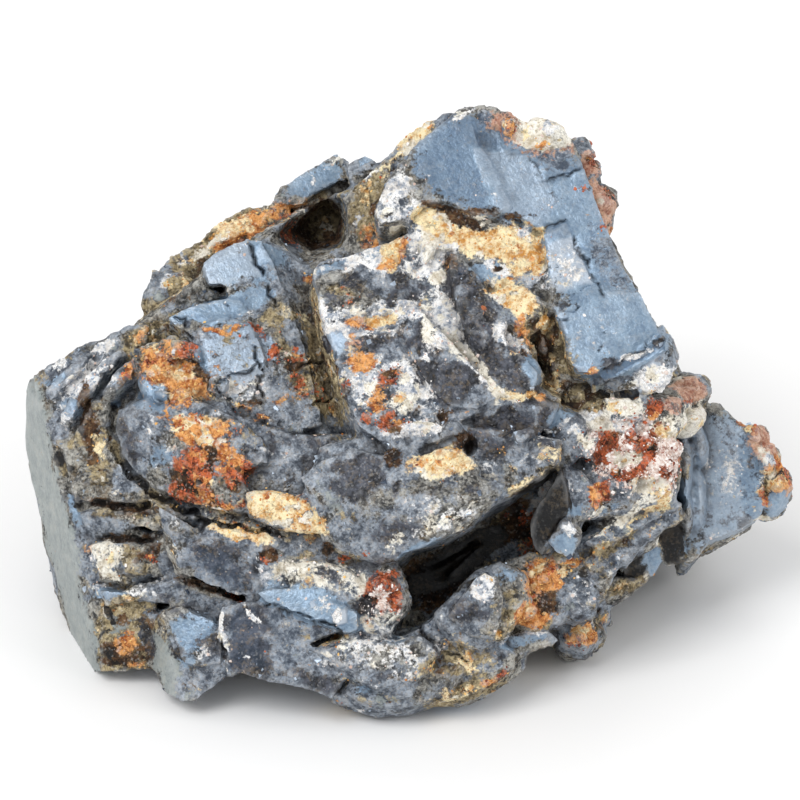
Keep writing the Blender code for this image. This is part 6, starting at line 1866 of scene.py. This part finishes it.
@dataclass
class GrainCrust:
    """Loose grains grown on the stone where certain minerals lie."""

    name: str
    finish: GrainFinish
    on: dict[Mineral, float]
    count: int
    size: tuple[float, float]
    seed: int
    blocky: bool = False
    sink: float = 0.25

    def build(self, stone: Stone, groups: ShaderGroups) -> bpy.types.Object:
        """Strews the grains and makes them one piece.

        A corner of a grain is spot + size * R (squash * corner), where R turns the unit shape.

        Args:
            stone: the finished stone.
            groups: the shared node groups.

        Returns:
            The finished piece.
        """
        chance = np.random.default_rng(self.seed)
        count = self.count
        spots, normals = self.spots(stone, chance, count)
        corners, faces = self.shape()
        sizes = self.size[0] + (self.size[1] - self.size[0]) * chance.random(count) ** 2.2
        squash = chance.uniform(0.7, 1.15, (count, 1, 3))
        jitter = 1 + chance.uniform(-0.16, 0.16, (count, len(corners), 1))
        turns = self.turns(chance, count)
        local = corners[None] * jitter * squash
        turned = np.einsum("nij,nkj->nki", turns, local) * (sizes / 2)[:, None, None]
        centres = spots - normals * (sizes * self.sink)[:, None]
        points = (turned + centres[:, None]).reshape(-1, 3)
        low, high = (np.array(corner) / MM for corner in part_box(NODE))
        points = np.clip(points, low, high)
        whole = (faces[None] + np.arange(count)[:, None, None] * len(corners)).reshape(-1, 3)
        mesh = bpy.data.meshes.new(self.name)
        mesh.from_pydata((points * MM).tolist(), [], whole.tolist())
        set_attribute(mesh, "own_tone", np.repeat(chance.random(count), len(corners)))
        mesh.materials.append(self.finish.build(groups))
        piece = bpy.data.objects.new(self.name, mesh)
        bpy.context.collection.objects.link(piece)
        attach(piece, "root")
        log.info("%s: %d grains", self.name, count)
        return piece

    def spots(self, stone: Stone, chance: np.random.Generator, count: int) -> tuple[Array, Array]:
        """Picks places on the stone, a triangle's odds being its area times its minerals' weight.

        Args:
            stone: the finished stone.
            chance: the seeded draws.
            count: how many.

        Returns:
            The places in millimetres and the normals there.
        """
        mesh = stone.piece.data
        mesh.calc_loop_triangles()
        flat = np.empty(len(mesh.loop_triangles) * 3, dtype=np.int32)
        mesh.loop_triangles.foreach_get("vertices", flat)
        tris = flat.reshape(-1, 3)
        points = points_of(mesh)
        a, b, c = (points[tris[:, k]] for k in range(3))
        cross = np.cross(b - a, c - a)
        area = np.linalg.norm(cross, axis=1)
        weight = sum(share * stone.minerals[kind] ** 2 for kind, share in self.on.items())
        odds = area * weight[tris].mean(axis=1) * (a[:, 2] > 0.8)
        picks = chance.choice(len(tris), count, p=odds / odds.sum())
        share = chance.random((count, 2))
        share = np.where(share.sum(axis=1, keepdims=True) > 1, 1 - share, share)
        spots = a[picks] + share[:, :1] * (b - a)[picks] + share[:, 1:] * (c - a)[picks]
        return spots, cross[picks] / np.maximum(area[picks], 1e-9)[:, None]

    def shape(self) -> tuple[Array, Array]:
        """The unit shape: a cube for a cleavage chip, an icosahedron for a grain.

        Returns:
            Its corners, about 1 from the middle, and its triangles.
        """
        shape = bmesh.new()
        if self.blocky:
            bmesh.ops.create_cube(shape, size=1.5)
        else:
            bmesh.ops.create_icosphere(shape, subdivisions=1, radius=1.0)
        bmesh.ops.triangulate(shape, faces=shape.faces)
        corners = np.array([vertex.co for vertex in shape.verts])
        faces = np.array([[vertex.index for vertex in face.verts] for face in shape.faces])
        shape.free()
        return corners, faces

    def turns(self, chance: np.random.Generator, count: int) -> Array:
        """A turn for each grain: any at all, or near the lattice for cleavage chips.

        Args:
            chance: the seeded draws.
            count: how many.

        Returns:
            A count x 3 x 3 array of rotations, from unit quaternions.
        """
        loose = 0.16 if self.blocky else 9.0
        w, x, y, z = self.unit(np.column_stack((np.ones(count), chance.normal(0, loose, (count, 3))))).T
        turns = np.stack((
            1 - 2 * (y * y + z * z), 2 * (x * y - z * w), 2 * (x * z + y * w),
            2 * (x * y + z * w), 1 - 2 * (x * x + z * z), 2 * (y * z - x * w),
            2 * (x * z - y * w), 2 * (y * z + x * w), 1 - 2 * (x * x + y * y),
        ), axis=1).reshape(-1, 3, 3)
        return turns @ lattice_axes().T

    def unit(self, rows: Array) -> Array:
        """Each row over its own length."""
        return rows / np.linalg.norm(rows, axis=1, keepdims=True)


CRUSTS: tuple[GrainCrust, ...] = (
    GrainCrust(
        "white_druse", GrainFinish("white_grain", (206, 178, 164), (252, 248, 244), 0.35, coat=0.3),
        {M.DRUSE: 1.0, M.FROST: 0.06, M.CREAM: 0.05}, 2200, (0.14, 0.46), 3,
    ),
    GrainCrust(
        "red_druse", GrainFinish("red_grain", (104, 40, 22), (206, 104, 60), 0.4, coat=0.2),
        {M.DRUSE: 0.15, M.RUST: 0.9}, 2600, (0.14, 0.4), 4,
    ),
    GrainCrust(
        "ochre_grains", GrainFinish("ochre_grain", (186, 112, 44), (248, 206, 130), 0.75),
        {M.OCHRE: 0.5, M.ORANGE: 0.8}, 2600, (0.1, 0.32), 5,
    ),
    GrainCrust(
        "galena_chips", GrainFinish("chip_galena", (70, 82, 100), (190, 204, 220), 0.35, metal=0.5),
        {M.SLATE: 0.3, M.FROST: 0.5, M.CHARCOAL: 0.4, M.MATRIX: 0.4}, 2200, (0.14, 0.6), 6, blocky=True,
        sink=0.3,
    ),
)


@dataclass
class Studio:
    """A plain pale floor, soft light and the camera on the best side."""

    lens: float = 400.0
    distance: float = DISPLAY_DISTANCE
    floor_size: float = 3.0
    world_light: float = 0.65
    paper: float = 0.93

    def build(self) -> None:
        """Makes the floor, the lights, the world and the camera."""
        self.build_floor()
        self.build_world()
        self.add_light("key_softbox", (-0.5, -0.55, 1.0), 0.7, 7.9)
        self.add_light("right_softbox", (0.9, -0.3, 0.7), 0.6, 2.3)
        self.add_light("back_softbox", (0.1, 0.9, 0.8), 0.8, 2.5)
        self.build_camera()

    def build_floor(self) -> None:
        """Makes the floor, a sheet on which the stone rests."""
        half = self.floor_size / 2
        mesh = bpy.data.meshes.new("floor")
        corners = [(-half, -half, 0), (half, -half, 0), (half, half, 0), (-half, half, 0)]
        mesh.from_pydata(corners, [], [(0, 1, 2, 3)])
        material = bpy.data.materials.new("pale_paper")
        material.use_nodes = True
        shader = material.node_tree.nodes["Principled BSDF"]
        shader.inputs["Base Color"].default_value = (self.paper, self.paper, self.paper, 1)
        shader.inputs["Roughness"].default_value = 0.9
        shader.inputs["Specular IOR Level"].default_value = 0.1
        mesh.materials.append(material)
        floor = bpy.data.objects.new("floor", mesh)
        bpy.context.collection.objects.link(floor)

    def build_world(self) -> None:
        """Lights the scene evenly from all sides."""
        world = bpy.data.worlds.new("studio")
        world.use_nodes = True
        sky = world.node_tree.nodes["Background"]
        sky.inputs["Color"].default_value = (1.0, 1.0, 1.0, 1)
        sky.inputs["Strength"].default_value = self.world_light
        bpy.context.scene.world = world
        bpy.context.scene.view_settings.view_transform = "Standard"
        bpy.context.scene.view_settings.look = "None"

    def add_light(self, name: str, place: tuple[float, float, float], size: float, power: float) -> None:
        """Adds a soft square light that looks at the stone.

        Args:
            name: the light's name.
            place: where it is, in metres.
            size: its side, in metres.
            power: in watts.
        """
        lamp = bpy.data.lights.new(name, "AREA")
        lamp.size = size
        lamp.energy = power
        light = bpy.data.objects.new(name, lamp)
        light.location = place
        light.rotation_euler = (-Vector(place)).to_track_quat("-Z", "Y").to_euler()
        bpy.context.collection.objects.link(light)

    def build_camera(self) -> None:
        """Sets the camera on the line of sight, looking at the display frame's origin."""
        lens = bpy.data.cameras.new("camera")
        lens.lens = self.lens
        lens.sensor_width = 36.0
        lens.clip_start = 0.05
        lens.clip_end = 10.0
        camera = bpy.data.objects.new("camera", lens)
        camera.location = Vector((FOOT + OUT * self.distance) * MM)
        camera.rotation_euler = Vector(-OUT).to_track_quat("-Z", "Y").to_euler()
        bpy.context.collection.objects.link(camera)
        bpy.context.scene.camera = camera


def main() -> None:
    """Builds the stone, its grains and the studio."""
    logging.basicConfig(level=logging.INFO, format="%(name)s: %(message)s")
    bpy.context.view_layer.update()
    groups = ShaderGroups()
    groups.build()
    stone = Stone()
    marks = MineralMap()
    marks.place(stone.start())
    stone.build(marks)
    stone.piece.data.materials.clear()
    stone.piece.data.materials.append(StoneMaterial(groups).build())
    for crust in CRUSTS:
        crust.build(stone, groups)
    Studio().build()
    bpy.context.view_layer.update()
    log.info("sizes kept")


if __name__ == "__main__":
    main()
